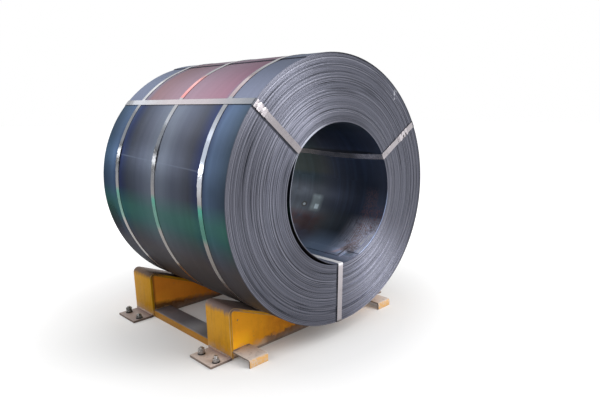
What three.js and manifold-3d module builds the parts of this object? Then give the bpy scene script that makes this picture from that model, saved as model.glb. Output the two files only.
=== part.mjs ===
// A strapped steel coil, bore horizontal, lying on a welded two-saddle storage cradle.
// Units are millimetres, +Z up. X is the coil's axis, and the front brackets stand at +X.
import * as THREE from "three";
import { mergeVertices } from "three/addons/utils/BufferGeometryUtils.js";
import Module from "manifold-3d";

const wasm = await Module();
wasm.setup();

// ---------------------------------------------------------------- driving sizes
const GAP = 0.3; // clearance between pieces that touch

// coil
const COIL_RADIUS = 580;
const BORE_RADIUS = 305; // at the innermost turn's free end
const BORE_SHIFT = [7, -6]; // the bore's centre in (Y, Z) from the outside's
const COIL_WIDTH = 1000;
const SHEET = 3;
const TAIL_ANGLE = 108.4; // where the outermost turn ends, from +Y towards +Z
const COIL_SIDES = 96;
const FACE_RECESS = 5; // deepest the middle turns lie behind the proud ones
const TURN_GROUPS = 8; // groups of turns that show as steps on each end
const EDGE_EASE = 2; // bevel on the coil's outside and bore edges
const INNER_END = 279; // where the innermost turn starts, from +Y towards +Z
const SNIP_ANGLE = 10; // corner cut from the innermost turn's start at the front
const SNIP_LENGTH = 76;
const LOOSE_LIFT = 15; // the innermost turn hangs this far off the bore's wall
const LOOSE_FROM = 138;
const LOOSE_TO = 272;
const LOOSE_RISE = 28;
const LOOSE_FALL = 40;
const INNER_SETBACK = 2; // innermost turn's edges behind the ends
const INNER_BITE = 0.5; // depth by which the innermost turn is one with the wall

// straps
const STRAP_WIDTH = 32;
const STRAP_THICK = 1;
const STRAP_BEND = 2.5; // inside radius where an eye strap turns over an edge
const BAND_POSITIONS = [-350, -17, 340];
const EYE_ANGLES = [138.4, 28.3, -93.1];
const SEAL_LENGTH = 66;
const SEAL_WALL = 1;
const SEAL_FIT = 0.4;
const SEAL_NOTCH = 5;
const BAND_SEAL_ANGLES = [165.5, 162.5, 169.3];
const EYE_SEAL_INSETS = [34, 93]; // seals' centres from the coil's outside

// cradle saddles
const SLOPE = 23; // each seat plate falls this far towards the middle
const SADDLE_HALF = 452; // end plate's outer face from the middle
const SADDLE_WIDTH = 178;
const SADDLE_CENTRES = [-480, 200];
const VALLEY_HEIGHT = 41; // seat's lowest point above the floor
const COVER_THICK = 12;
const COVER_BEND = 24; // outside radius where the end plate turns into the seat
const SIDE_THICK = 8;
const SIDE_SETBACK = 2;

// anchor feet
const FOOT_THICK = 10;
const FOOT_REACH = 100;
const FOOT_BACK = 67; // from the saddle's centre towards -X
const FOOT_FRONT = 93; // from the saddle's centre towards +X
const FOOT_RIGHT_SHIFT = -30; // the right-hand feet stand this far along X from the left ones
const ANCHOR_PITCH = 110;
const ANCHOR_SHIFT = 4; // anchors' middle from the foot's middle
const ANCHOR_SET = 62; // from the end plate
const STUD_RADIUS = 8;
const STUD_HOLE = 9;
const NUT_ACROSS_FLATS = 24;
const NUT_HEIGHT = 14;
const LOCKNUT_HEIGHT = 8;
const LOCKNUT_TURN = 20;
const WASHER_RADIUS = 16;
const WASHER_THICK = 3;
const ROUND_SIDES = 16;
const STUD_END = 5; // length that stands out of the top nut
const LONG_STUD_END = 12; // the same on the front left foot's front anchor

// ties and front brackets
const RAIL_WIDTH = 91;
const RAIL_HEIGHT = 36;
const RAIL_WALL = 6;
const RAIL_BEND = 9;
const RAIL_SET = 6; // rail's outer side from the saddle's end
const BRACKET_REACH = 120;
const BRACKET_THICK = 7;
const BRACKET_BEND = 10;

// ---------------------------------------------------------------- helpers
const rad = THREE.MathUtils.degToRad;
const v2 = (x, y) => new THREE.Vector2(x, y);

function solid(geometry) {
  const g = geometry.clone();
  g.deleteAttribute("normal");
  g.deleteAttribute("uv");
  const merged = mergeVertices(g, 1e-3);
  const triVerts = new Uint32Array(merged.index.array);
  const vertProperties = new Float32Array(merged.attributes.position.array);
  return new wasm.Manifold(new wasm.Mesh({ numProp: 3, vertProperties, triVerts }));
}

function geometryOf(manifold) {
  const out = manifold.getMesh();
  const g = new THREE.BufferGeometry();
  g.setAttribute("position", new THREE.BufferAttribute(new Float32Array(out.vertProperties), 3));
  g.setIndex(new THREE.BufferAttribute(new Uint32Array(out.triVerts), 1));
  return g;
}

// A closed outline in (Y, Z), pushed along X from x0 to x1.
function alongX(points, x0, x1, holes = []) {
  const shape = new THREE.Shape(points);
  for (const hole of holes) shape.holes.push(new THREE.Path(hole));
  const g = new THREE.ExtrudeGeometry(shape, { depth: x1 - x0, bevelEnabled: false });
  // shape x becomes Y, shape y becomes Z and the depth becomes X
  const turn = new THREE.Matrix4().makeBasis(
    new THREE.Vector3(0, 1, 0),
    new THREE.Vector3(0, 0, 1),
    new THREE.Vector3(1, 0, 0),
  );
  return g.applyMatrix4(turn).translate(x0, 0, 0);
}

// A closed outline in (X, Z), pushed along Y from y0 to y1.
function alongY(points, y0, y1) {
  const g = new THREE.ExtrudeGeometry(new THREE.Shape(points), {
    depth: y1 - y0,
    bevelEnabled: false,
  });
  const turn = new THREE.Matrix4().makeBasis(
    new THREE.Vector3(1, 0, 0),
    new THREE.Vector3(0, 0, 1),
    new THREE.Vector3(0, -1, 0),
  );
  return g.applyMatrix4(turn).translate(0, y1, 0);
}

// A closed outline in (X, Y), pushed up from z0 to z1.
function alongZ(points, z0, z1, holes = []) {
  const shape = new THREE.Shape(points);
  for (const hole of holes) shape.holes.push(new THREE.Path(hole));
  const g = new THREE.ExtrudeGeometry(shape, { depth: z1 - z0, bevelEnabled: false });
  return g.translate(0, 0, z0);
}

// An open line of points with its corners rounded to a radius.
function rounded(points, radii, steps = 5) {
  const out = [points[0].clone()];
  for (let i = 1; i < points.length - 1; i++) {
    const into = points[i].clone().sub(points[i - 1]).normalize();
    const away = points[i + 1].clone().sub(points[i]).normalize();
    const turn = Math.acos(THREE.MathUtils.clamp(into.dot(away), -1, 1));
    const radius = Array.isArray(radii) ? radii[i] : radii;
    if (turn < 1e-4 || radius <= 0) {
      out.push(points[i].clone());
      continue;
    }
    const cut = radius * Math.tan(turn / 2);
    const side = Math.sign(into.x * away.y - into.y * away.x);
    const start = points[i].clone().addScaledVector(into, -cut);
    const centre = v2(-into.y, into.x).multiplyScalar(side * radius).add(start);
    for (let k = 0; k <= steps; k++) {
      const a = (side * turn * k) / steps;
      out.push(start.clone().rotateAround(centre, a));
    }
  }
  out.push(points[points.length - 1].clone());
  return out;
}

// The same line moved sideways by a distance, to its left.
function offsetLine(points, distance) {
  const normals = [];
  for (let i = 0; i < points.length - 1; i++) {
    const d = points[i + 1].clone().sub(points[i]).normalize();
    normals.push(v2(-d.y, d.x));
  }
  return points.map((p, i) => {
    const a = normals[Math.max(i - 1, 0)];
    const b = normals[Math.min(i, normals.length - 1)];
    const mid = a.clone().add(b).normalize();
    return p.clone().addScaledVector(mid, distance / mid.dot(a));
  });
}

const root = new THREE.Group();

function add(name, geometry, colour, roughness, metalness, parent = root) {
  const material = new THREE.MeshStandardMaterial({ color: colour, roughness, metalness });
  const mesh = new THREE.Mesh(geometry, material);
  mesh.name = name;
  parent.add(mesh);
  return mesh;
}

const STEEL = [0x6d7078, 0.42, 0.85];
const STRAPPING = [0xb9b6b8, 0.32, 0.9];
const YELLOW = [0xc98d2c, 0.6, 0.1];
const DIRTY = [0x9b8f84, 0.75, 0.2];
const FASTENER = [0x4b4a4c, 0.5, 0.7];

// ---------------------------------------------------------------- coil
// The outside is one turn of a spiral, so that the tail stands one sheet proud.
const STEP = 360 / COIL_SIDES;
function coilRadius(angle) {
  const turn = ((((angle - TAIL_ANGLE) % 360) + 360) % 360) / 360;
  return COIL_RADIUS - SHEET * (1 - turn);
}

// The bore's wall lies one sheet outside the innermost turn's free end.
const WALL_RADIUS = BORE_RADIUS + SHEET;

// The innermost turn climbs one sheet from its free end and hangs loose on one side.
function innerRadius(angle) {
  const along = ((((angle - INNER_END) % 360) + 360) % 360) / 360;
  return WALL_RADIUS - SHEET * (1 - along) - looseLift(angle);
}
function looseLift(angle) {
  const a = ((angle % 360) + 360) % 360;
  const rise = THREE.MathUtils.smoothstep((a - LOOSE_FROM) / LOOSE_RISE, 0, 1);
  return LOOSE_LIFT * rise * THREE.MathUtils.smoothstep((LOOSE_TO - a) / LOOSE_FALL, 0, 1);
}

// Columns 0 and COIL_SIDES stand at the tail's angle, one turn apart in radius.
function coilGeometry() {
  const half = COIL_WIDTH / 2;
  const deep = [0, 0.7, 0.35, 1, 0.55, 0.9, 0.4, 0];
  const band = (COIL_RADIUS - SHEET - WALL_RADIUS) / TURN_GROUPS;
  // profile points as [radius, x], with no radius where the outermost turn sets it
  const front = [[WALL_RADIUS, half - EDGE_EASE]];
  for (let g = 0; g < TURN_GROUPS; g++) {
    const x = half - FACE_RECESS * deep[g % deep.length];
    const r0 = WALL_RADIUS + (g === 0 ? EDGE_EASE : g * band);
    const r1 = WALL_RADIUS + (g + 1) * band - (g === TURN_GROUPS - 1 ? EDGE_EASE : 0);
    front.push([r0, x], [r1, x]);
  }
  front.push([null, half - EDGE_EASE]);
  const back = front.map(([r, x]) => [r, -x]).reverse();
  const profile = [...front, ...back];
  const columns = COIL_SIDES + 1;
  const positions = [];
  for (let k = 0; k < columns; k++) {
    const angle = TAIL_ANGLE + k * STEP;
    const outer = COIL_RADIUS - SHEET * (1 - k / COIL_SIDES);
    for (const [r, x] of profile) {
      const radius = r === null ? outer : r;
      const inward = (COIL_RADIUS - SHEET - radius) / (COIL_RADIUS - SHEET - WALL_RADIUS);
      const y = BORE_SHIFT[0] * Math.max(inward, 0) + radius * Math.cos(rad(angle));
      const z = BORE_SHIFT[1] * Math.max(inward, 0) + radius * Math.sin(rad(angle));
      positions.push(x, y, z);
    }
  }
  const index = [];
  const n = profile.length;
  for (let k = 0; k < COIL_SIDES; k++)
    for (let j = 0; j < n; j++) {
      const a = k * n + j;
      const b = k * n + ((j + 1) % n);
      const c = (k + 1) * n + ((j + 1) % n);
      const d = (k + 1) * n + j;
      index.push(a, b, c, a, c, d);
    }
  // the tail's end face, one turn's step high
  const front0 = front.length - 1;
  const back0 = front.length;
  const frontN = COIL_SIDES * n + front0;
  const backN = COIL_SIDES * n + back0;
  index.push(front0, frontN, backN, front0, backN, back0);
  index.push(front0, front0 - 1, frontN, back0, backN, back0 + 1);
  const g = new THREE.BufferGeometry();
  g.setAttribute("position", new THREE.Float32BufferAttribute(positions, 3));
  g.setIndex(index);
  return mergeVertices(g, 1e-3);
}

// The innermost turn, a strip of sheet from its free end round to its start.
function innerTurn() {
  const half = COIL_WIDTH / 2 - INNER_SETBACK;
  const positions = [];
  for (let k = 0; k <= COIL_SIDES; k++) {
    const angle = INNER_END + (k * 360) / COIL_SIDES;
    const last = k === COIL_SIDES;
    const lift = looseLift(angle);
    const inner = last ? WALL_RADIUS - lift : innerRadius(angle);
    const outer = inner + SHEET + Math.max(0, INNER_BITE - lift);
    for (const [r, x] of [[inner, half], [outer, half], [outer, -half], [inner, -half]]) {
      const y = BORE_SHIFT[0] + r * Math.cos(rad(angle));
      const z = BORE_SHIFT[1] + r * Math.sin(rad(angle));
      positions.push(x, y, z);
    }
  }
  const index = [];
  for (let k = 0; k < COIL_SIDES; k++)
    for (let j = 0; j < 4; j++) {
      const a = k * 4 + j;
      const b = k * 4 + ((j + 1) % 4);
      index.push(a, b, b + 4, a, b + 4, a + 4);
    }
  const end = COIL_SIDES * 4;
  index.push(0, 3, 2, 0, 2, 1, end, end + 1, end + 2, end, end + 2, end + 3);
  const g = new THREE.BufferGeometry();
  g.setAttribute("position", new THREE.Float32BufferAttribute(positions, 3));
  g.setIndex(index);
  return g;
}

// The block that cuts the front corner off the innermost turn's start.
function snip() {
  const corner = [-1, SNIP_ANGLE].map((a) => rad(INNER_END + a));
  const outline = [];
  for (const r of [WALL_RADIUS - 2 * SHEET, WALL_RADIUS + 2 * SHEET])
    for (const a of corner)
      outline.push(v2(BORE_SHIFT[0] + r * Math.cos(a), BORE_SHIFT[1] + r * Math.sin(a)));
  const [a, b, c, d] = outline;
  return alongX([a, c, d, b], COIL_WIDTH / 2 - SNIP_LENGTH, COIL_WIDTH / 2 + 1);
}

function wholeCoil() {
  const turn = solid(innerTurn()).subtract(solid(snip()));
  return geometryOf(solid(coilGeometry()).add(turn));
}

// ---------------------------------------------------------------- where the coil lies
// The seats touch the coil's outline along their normals.
const seatNormals = [270 - SLOPE, 270 + SLOPE];
let reach = 0;
for (let k = 0; k <= COIL_SIDES; k++) {
  const angle = TAIL_ANGLE + k * STEP;
  const r = COIL_RADIUS - SHEET * (1 - k / COIL_SIDES);
  for (const normal of seatNormals)
    reach = Math.max(reach, r * Math.cos(rad(angle - normal)));
}
const AXIS_HEIGHT = VALLEY_HEIGHT + (reach + GAP) / Math.cos(rad(SLOPE));

const load = new THREE.Group();
load.position.z = AXIS_HEIGHT;
root.add(load);
add("coil", wholeCoil(), ...STEEL, load);

// ---------------------------------------------------------------- band straps
// A point on the coil's faceted outline, raised by a height.
function onOutline(angle, height) {
  const k = (angle - TAIL_ANGLE) / STEP;
  const k0 = Math.floor(k + 1e-9);
  const part = k - k0;
  const corner = (q) => {
    const a = TAIL_ANGLE + q * STEP;
    return v2(Math.cos(rad(a)), Math.sin(rad(a))).multiplyScalar(coilRadius(a) + height);
  };
  return corner(k0).lerp(corner(k0 + 1), part);
}

// The band runs on the outline and bridges the step at the tail.
function bandLine(height) {
  const points = [];
  for (let k = 1; k < COIL_SIDES; k++) {
    const a = TAIL_ANGLE + k * STEP;
    const r = coilRadius(a) + height;
    points.push(v2(r * Math.cos(rad(a)), r * Math.sin(rad(a))));
  }
  const r = COIL_RADIUS + height;
  points.push(v2(r * Math.cos(rad(TAIL_ANGLE)), r * Math.sin(rad(TAIL_ANGLE))));
  return points;
}

const BAND_TOP = GAP + STRAP_THICK;
BAND_POSITIONS.forEach((x, i) => {
  const hole = bandLine(GAP).reverse();
  const ring = alongX(bandLine(BAND_TOP), x - STRAP_WIDTH / 2, x + STRAP_WIDTH / 2, [hole]);
  add(`band_strap_${i + 1}`, ring, ...STRAPPING, load);
});

// ---------------------------------------------------------------- seals
// A folded sleeve over a strap: (across, up) section with its legs beside the strap.
function sealSection() {
  const half = STRAP_WIDTH / 2 + SEAL_FIT;
  const top = STRAP_THICK + GAP;
  return [
    v2(-half - SEAL_WALL, 0),
    v2(-half, 0),
    v2(-half, top),
    v2(half, top),
    v2(half, 0),
    v2(half + SEAL_WALL, 0),
    v2(half + SEAL_WALL, top + SEAL_WALL),
    v2(-half - SEAL_WALL, top + SEAL_WALL),
  ];
}

// Two crimp notches in each edge of a sleeve that lies along Y where the place puts it.
function notched(sleeve, place) {
  let body = sleeve;
  const half = STRAP_WIDTH / 2 + SEAL_FIT + SEAL_WALL;
  const deep = half - SEAL_NOTCH;
  for (const side of [-1, 1])
    for (const at of [-SEAL_LENGTH / 5, SEAL_LENGTH / 5]) {
      const outline = [
        v2(side * (half + 1), at - SEAL_NOTCH),
        v2(side * (half + 1), at + SEAL_NOTCH),
        v2(side * deep, at),
      ];
      if (side < 0) outline.reverse();
      body = body.subtract(solid(alongZ(outline, -20, 20).applyMatrix4(place)));
    }
  return body;
}

// A straight sleeve along Y, its strap's underside at z = 0.
function straightSeal() {
  const shape = new THREE.Shape(sealSection());
  const g = new THREE.ExtrudeGeometry(shape, { depth: SEAL_LENGTH, bevelEnabled: false });
  const turn = new THREE.Matrix4().makeBasis(
    new THREE.Vector3(1, 0, 0),
    new THREE.Vector3(0, 0, 1),
    new THREE.Vector3(0, -1, 0),
  );
  return solid(g.applyMatrix4(turn).translate(0, SEAL_LENGTH / 2, 0));
}

// A sleeve that follows the coil's outline about an angle, at a place along X.
function bandSeal(angle, x) {
  const spread = THREE.MathUtils.radToDeg(SEAL_LENGTH / 2 / COIL_RADIUS);
  const cuts = [angle - spread];
  const first = Math.ceil((angle - spread - TAIL_ANGLE) / STEP + 1e-6);
  for (let k = first; TAIL_ANGLE + k * STEP < angle + spread - 1e-6; k++)
    cuts.push(TAIL_ANGLE + k * STEP);
  cuts.push(angle + spread);
  const section = sealSection();
  const n = section.length;
  const positions = [];
  for (const a of cuts)
    for (const p of section) {
      const q = onOutline(a, GAP + p.y);
      positions.push(x + p.x, q.x, q.y);
    }
  const index = [];
  for (let k = 0; k < cuts.length - 1; k++)
    for (let j = 0; j < n; j++) {
      const a = k * n + j;
      const b = k * n + ((j + 1) % n);
      index.push(a, b, b + n, a, b + n, a + n);
    }
  const flat = THREE.ShapeUtils.triangulateShape(section, []);
  const last = (cuts.length - 1) * n;
  for (const [a, b, c] of flat) {
    index.push(a, c, b);
    index.push(last + a, last + b, last + c);
  }
  const g = new THREE.BufferGeometry();
  g.setAttribute("position", new THREE.Float32BufferAttribute(positions, 3));
  g.setIndex(index);
  const away = new THREE.Vector3(0, Math.cos(rad(angle)), Math.sin(rad(angle)));
  const across = new THREE.Vector3(1, 0, 0);
  const place = new THREE.Matrix4().makeBasis(across, away.clone().cross(across), away);
  place.setPosition(x, away.y * coilRadius(angle), away.z * coilRadius(angle));
  return geometryOf(notched(solid(g), place));
}

BAND_SEAL_ANGLES.forEach((angle, i) => {
  add(`band_seal_${i + 1}`, bandSeal(angle, BAND_POSITIONS[i]), ...STRAPPING, load);
});

// ---------------------------------------------------------------- eye straps
// Each is a closed loop through the bore, in the plane of the axis and its angle.
const FACE_REST = COIL_WIDTH / 2 + GAP;
// The lowest place of the bore's surface under a strap's width, towards the axis.
function boreRun(angle) {
  const away = v2(Math.cos(rad(angle)), Math.sin(rad(angle)));
  const centre = v2(...BORE_SHIFT);
  const aside = centre.dot(v2(-away.y, away.x));
  let low = Infinity;
  for (let k = -8; k <= 8; k++) {
    const across = ((STRAP_WIDTH / 2 + 1) * k) / 8 - aside;
    const a = angle + THREE.MathUtils.radToDeg(Math.asin(across / BORE_RADIUS));
    const r = innerRadius(a) * Math.cos(rad(STEP / 2));
    const at = v2(Math.cos(rad(a)), Math.sin(rad(a))).multiplyScalar(r);
    low = Math.min(low, at.add(centre).dot(away));
  }
  return low - GAP;
}

EYE_ANGLES.forEach((angle, i) => {
  const run = coilRadius(angle) + BAND_TOP + GAP;
  const inner = boreRun(angle);
  const box = (grow) => [
    v2(0, run + grow),
    v2(FACE_REST + grow, run + grow),
    v2(FACE_REST + grow, inner - grow),
    v2(-FACE_REST - grow, inner - grow),
    v2(-FACE_REST - grow, run + grow),
    v2(0, run + grow),
  ];
  const outside = rounded(box(STRAP_THICK), STRAP_BEND + STRAP_THICK, 4).slice(0, -1);
  const inside = rounded(box(0), STRAP_BEND, 4).slice(0, -1);
  const shape = new THREE.Shape(outside.reverse());
  shape.holes.push(new THREE.Path(inside));
  const g = new THREE.ExtrudeGeometry(shape, { depth: STRAP_WIDTH, bevelEnabled: false });
  // shape x stays X, shape y points away from the axis, the depth lies across the strap
  const away = new THREE.Vector3(0, Math.cos(rad(angle)), Math.sin(rad(angle)));
  const across = new THREE.Vector3(1, 0, 0).cross(away);
  g.translate(0, 0, -STRAP_WIDTH / 2);
  g.applyMatrix4(new THREE.Matrix4().makeBasis(new THREE.Vector3(1, 0, 0), away, across));
  add(`eye_strap_${i + 1}`, g, ...STRAPPING, load);
});

EYE_SEAL_INSETS.forEach((inset, i) => {
  const angle = EYE_ANGLES[i];
  const radius = COIL_RADIUS - inset;
  const away = new THREE.Vector3(0, Math.cos(rad(angle)), Math.sin(rad(angle)));
  const up = new THREE.Vector3(1, 0, 0);
  const across = away.clone().cross(up);
  const sleeve = geometryOf(notched(straightSeal(), new THREE.Matrix4()));
  sleeve.applyMatrix4(new THREE.Matrix4().makeBasis(across, away, up));
  sleeve.translate(FACE_REST, away.y * radius, away.z * radius);
  add(`eye_seal_${i + 1}`, sleeve, ...STRAPPING, load);
});

// ---------------------------------------------------------------- saddles
const fall = Math.tan(rad(SLOPE));
const seatHeight = (y) => VALLEY_HEIGHT + Math.abs(y) * fall;

// One bent plate on the -Y side: end plate, bend and seat down to the middle.
function coverOutline() {
  const outer = [
    v2(-SADDLE_HALF, 0),
    v2(-SADDLE_HALF, seatHeight(SADDLE_HALF)),
    v2(-GAP / 2, seatHeight(GAP / 2)),
  ];
  const top = rounded(outer, COVER_BEND, 6);
  const under = offsetLine(top, -COVER_THICK);
  under[0].y = 0;
  under[under.length - 1].x = -GAP / 2;
  const last = top[top.length - 1];
  under[under.length - 1].y = last.y - COVER_THICK / Math.cos(rad(SLOPE));
  return [...under, ...top.reverse()];
}

// The web under the two seats of one saddle, in one piece across the middle.
function webOutline() {
  const inner = SADDLE_HALF - COVER_THICK - GAP;
  const drop = (COVER_THICK + GAP) / Math.cos(rad(SLOPE));
  const corner = COVER_BEND - COVER_THICK;
  const right = rounded(
    [v2(inner, 0), v2(inner, seatHeight(inner) - drop), v2(0, seatHeight(0) - drop)],
    corner + GAP,
    4,
  );
  const left = right.map((p) => v2(-p.x, p.y)).reverse();
  return [...right, ...left.slice(1)];
}

const mirrored = (points) => points.map((p) => v2(-p.x, p.y)).reverse();
const SADDLES = ["rear", "front"];
const nutOutline = [];
for (let k = 0; k < 6; k++) {
  const a = rad(60 * k + 30);
  const r = NUT_ACROSS_FLATS / 2 / Math.cos(rad(30));
  nutOutline.push(v2(r * Math.cos(a), r * Math.sin(a)));
}
const ringOutline = (r, sides) =>
  Array.from({ length: sides }, (_, k) => {
    const a = (2 * Math.PI * k) / sides;
    return v2(r * Math.cos(a), r * Math.sin(a));
  });

SADDLES.forEach((name, s) => {
  const saddle = new THREE.Group();
  saddle.position.x = SADDLE_CENTRES[s];
  root.add(saddle);
  const half = SADDLE_WIDTH / 2;
  const cover = coverOutline();
  add(`${name}_seat_left`, alongX(cover, -half, half), ...YELLOW, saddle);
  add(`${name}_seat_right`, alongX(mirrored(cover), -half, half), ...YELLOW, saddle);
  const web = webOutline();
  const outside = half - SIDE_SETBACK;
  add(`${name}_web_back`, alongX(web, -outside, -outside + SIDE_THICK), ...YELLOW, saddle);
  add(`${name}_web_front`, alongX(web, outside - SIDE_THICK, outside), ...YELLOW, saddle);

  for (const [sideName, sign] of [["left", -1], ["right", 1]]) {
    const y0 = SADDLE_HALF + GAP;
    const y1 = SADDLE_HALF + FOOT_REACH;
    const shift = sign > 0 ? FOOT_RIGHT_SHIFT : 0;
    const x0 = shift - FOOT_BACK;
    const x1 = shift + FOOT_FRONT;
    const middle = (x0 + x1) / 2 + ANCHOR_SHIFT;
    const anchors = [middle - ANCHOR_PITCH / 2, middle + ANCHOR_PITCH / 2];
    const yAnchor = sign * (SADDLE_HALF + ANCHOR_SET);
    let plate = [v2(x0, y0), v2(x1, y0), v2(x1, y1), v2(x0, y1)];
    if (sign < 0) plate = plate.map((p) => v2(p.x, -p.y)).reverse();
    const holes = anchors.map((x) =>
      ringOutline(STUD_HOLE, ROUND_SIDES).map((p) => v2(p.x + x, p.y + yAnchor)),
    );
    const foot = alongZ(plate, 0, FOOT_THICK, holes);
    add(`${name}_foot_${sideName}`, foot, ...DIRTY, saddle);
    anchors.forEach((x, a) => {
      const place = (g) => g.translate(x, yAnchor, 0);
      const label = `${name}_${sideName}_${a + 1}`;
      const washerTop = FOOT_THICK + GAP + WASHER_THICK;
      const nutBase = washerTop + GAP;
      const nutTop = nutBase + NUT_HEIGHT;
      const locked = sideName === "left" && a === 0;
      const stacked = locked ? nutTop + GAP + LOCKNUT_HEIGHT : nutTop;
      const standing = label === "front_left_2" ? LONG_STUD_END : STUD_END;
      const bore = [ringOutline(STUD_RADIUS + GAP, ROUND_SIDES)];
      const washer = alongZ(ringOutline(WASHER_RADIUS, ROUND_SIDES), FOOT_THICK + GAP, washerTop, bore);
      add(`washer_${label}`, place(washer), ...FASTENER, saddle);
      add(`nut_${label}`, place(alongZ(nutOutline, nutBase, nutTop, bore)), ...FASTENER, saddle);
      if (locked) {
        const top = alongZ(nutOutline, nutTop + GAP, stacked, bore).rotateZ(rad(LOCKNUT_TURN));
        add(`locknut_${name}_left`, place(top), ...FASTENER, saddle);
      }
      const stud = alongZ(ringOutline(STUD_RADIUS, ROUND_SIDES), 0, stacked + standing);
      add(`stud_${label}`, place(stud), ...FASTENER, saddle);
    });
  }
});

// ---------------------------------------------------------------- ties and brackets
const tieFrom = SADDLE_CENTRES[0] + SADDLE_WIDTH / 2 + GAP;
const tieTo = SADDLE_CENTRES[1] - SADDLE_WIDTH / 2 - GAP;
const railOuter = SADDLE_HALF - RAIL_SET;
const railInner = railOuter - RAIL_WIDTH;

// An open channel, its back up.
function channelOutline() {
  const line = rounded(
    [v2(railInner, 0), v2(railInner, RAIL_HEIGHT), v2(railOuter, RAIL_HEIGHT), v2(railOuter, 0)],
    RAIL_BEND,
    4,
  );
  const under = offsetLine(line, -RAIL_WALL).reverse();
  return [...line, ...under].reverse();
}

// The front bracket runs out of the saddle at rail height and turns down to the floor.
const bracketFrom = SADDLE_CENTRES[1] + SADDLE_WIDTH / 2 + GAP;
function bracketOutline() {
  const x1 = SADDLE_CENTRES[1] + SADDLE_WIDTH / 2 + BRACKET_REACH;
  const line = rounded(
    [v2(bracketFrom, RAIL_HEIGHT), v2(x1, RAIL_HEIGHT), v2(x1, 0)],
    BRACKET_BEND,
    6,
  );
  const under = offsetLine(line, -BRACKET_THICK).reverse();
  return [...line, ...under].reverse();
}

const channel = channelOutline();
add("tie_right", alongX(channel, tieFrom, tieTo), ...YELLOW);
add("tie_left", alongX(mirrored(channel), tieFrom, tieTo), ...YELLOW);
add("bracket_right", alongY(bracketOutline(), railInner, railOuter), ...DIRTY);
add("bracket_left", alongY(bracketOutline(), -railOuter, -railInner), ...DIRTY);

// ---------------------------------------------------------------- origin
// The origin is the middle of the bottom of the whole object.
root.updateMatrixWorld(true);
const box = new THREE.Box3().setFromObject(root);
root.position.set(-(box.min.x + box.max.x) / 2, -(box.min.y + box.max.y) / 2, -box.min.z);

export default root;
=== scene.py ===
import math

import bmesh
import bpy
import numpy as np
from bpy.props import FloatProperty, FloatVectorProperty, IntProperty, PointerProperty
from bpy.types import Operator, Panel, PropertyGroup
from mathutils import Matrix, Vector


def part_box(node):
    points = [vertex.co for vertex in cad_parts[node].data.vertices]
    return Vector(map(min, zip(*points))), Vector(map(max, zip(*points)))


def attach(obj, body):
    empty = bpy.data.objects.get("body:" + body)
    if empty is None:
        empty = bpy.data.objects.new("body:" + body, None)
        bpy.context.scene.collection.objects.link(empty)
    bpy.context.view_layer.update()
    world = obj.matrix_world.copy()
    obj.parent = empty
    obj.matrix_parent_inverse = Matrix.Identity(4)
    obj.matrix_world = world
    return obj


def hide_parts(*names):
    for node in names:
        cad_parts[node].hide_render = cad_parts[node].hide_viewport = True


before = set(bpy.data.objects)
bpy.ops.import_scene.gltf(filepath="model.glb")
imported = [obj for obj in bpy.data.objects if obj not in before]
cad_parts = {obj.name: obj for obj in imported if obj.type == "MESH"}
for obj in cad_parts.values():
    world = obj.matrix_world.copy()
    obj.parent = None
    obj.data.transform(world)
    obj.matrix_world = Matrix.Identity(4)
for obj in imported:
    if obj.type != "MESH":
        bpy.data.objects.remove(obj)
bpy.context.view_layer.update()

bl_info = {
    "name": "Steel Coil Dresser",
    "version": (1, 0, 0),
    "blender": (4, 5, 0),
    "location": "View3D > Sidebar > Coil",
    "description": "Builds the visible strip coil, straps and cradle around the packed part",
    "category": "Object",
}

MM = 0.001
SIDES = ("left", "right")
SADDLES = ("rear", "front")


# ------------------------------------------------------------------ places from the frame
def lowest(node):
    return Vector(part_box(node)[0])


def highest(node):
    return Vector(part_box(node)[1])


COIL_X = (lowest("coil").x + highest("coil").x) / 2
HALF_WIDTH = (highest("coil").x - lowest("coil").x) / 2
AXIS_Y = (lowest("rear_seat_left").y + highest("rear_seat_right").y) / 2
AXIS_DROP = 0.75 * MM  # the outermost turn stands further above the axis than below it
AXIS_Z = (lowest("coil").z + highest("coil").z) / 2 - AXIS_DROP
AXIS = Vector((COIL_X, AXIS_Y, AXIS_Z))

# Degrees about the axis from +Y toward +Z
BANDS = {1: 165.5, 2: 162.5, 3: 169.3}
EYES = {1: 138.4, 2: 28.3, 3: 266.9}
# Metres from the outside to a bore strap's seal
EYE_SEALS = {1: 0.034, 2: 0.093}
# Slope and start of a bore strap's way aside over the ends
DRIFT = {1: (-0.0148, 0.0106), 2: (0.067, -0.0335), 3: (0.0, 0.004)}
# How far a band was pulled along the coil, and the degrees where that starts and over which it grows
PULLED = {1: (0.008, 192, 20), 2: (0.0, 0, 1), 3: (-0.028, 186, 38)}


def tone(red, green, blue):
    """A colour written as 0 to 255, as scene linear."""
    out = []
    for value in (red, green, blue):
        c = value / 255
        out.append(c / 12.92 if c <= 0.04045 else ((c + 0.055) / 1.055) ** 2.4)
    return out


# ------------------------------------------------------------------ what a user may change
def length(name, text, default):
    return FloatProperty(name=name, description=text, default=default, unit="LENGTH", precision=5)


def turned(name, text, degrees):
    return FloatProperty(name=name, description=text, default=math.radians(degrees), subtype="ANGLE")


def colour(name, text, rgb):
    return FloatVectorProperty(
        name=name, description=text, default=tone(*rgb), size=3, subtype="COLOR", min=0, max=1
    )


def power(name, text, default):
    return FloatProperty(name=name, description=text, default=default, unit="POWER")


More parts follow.
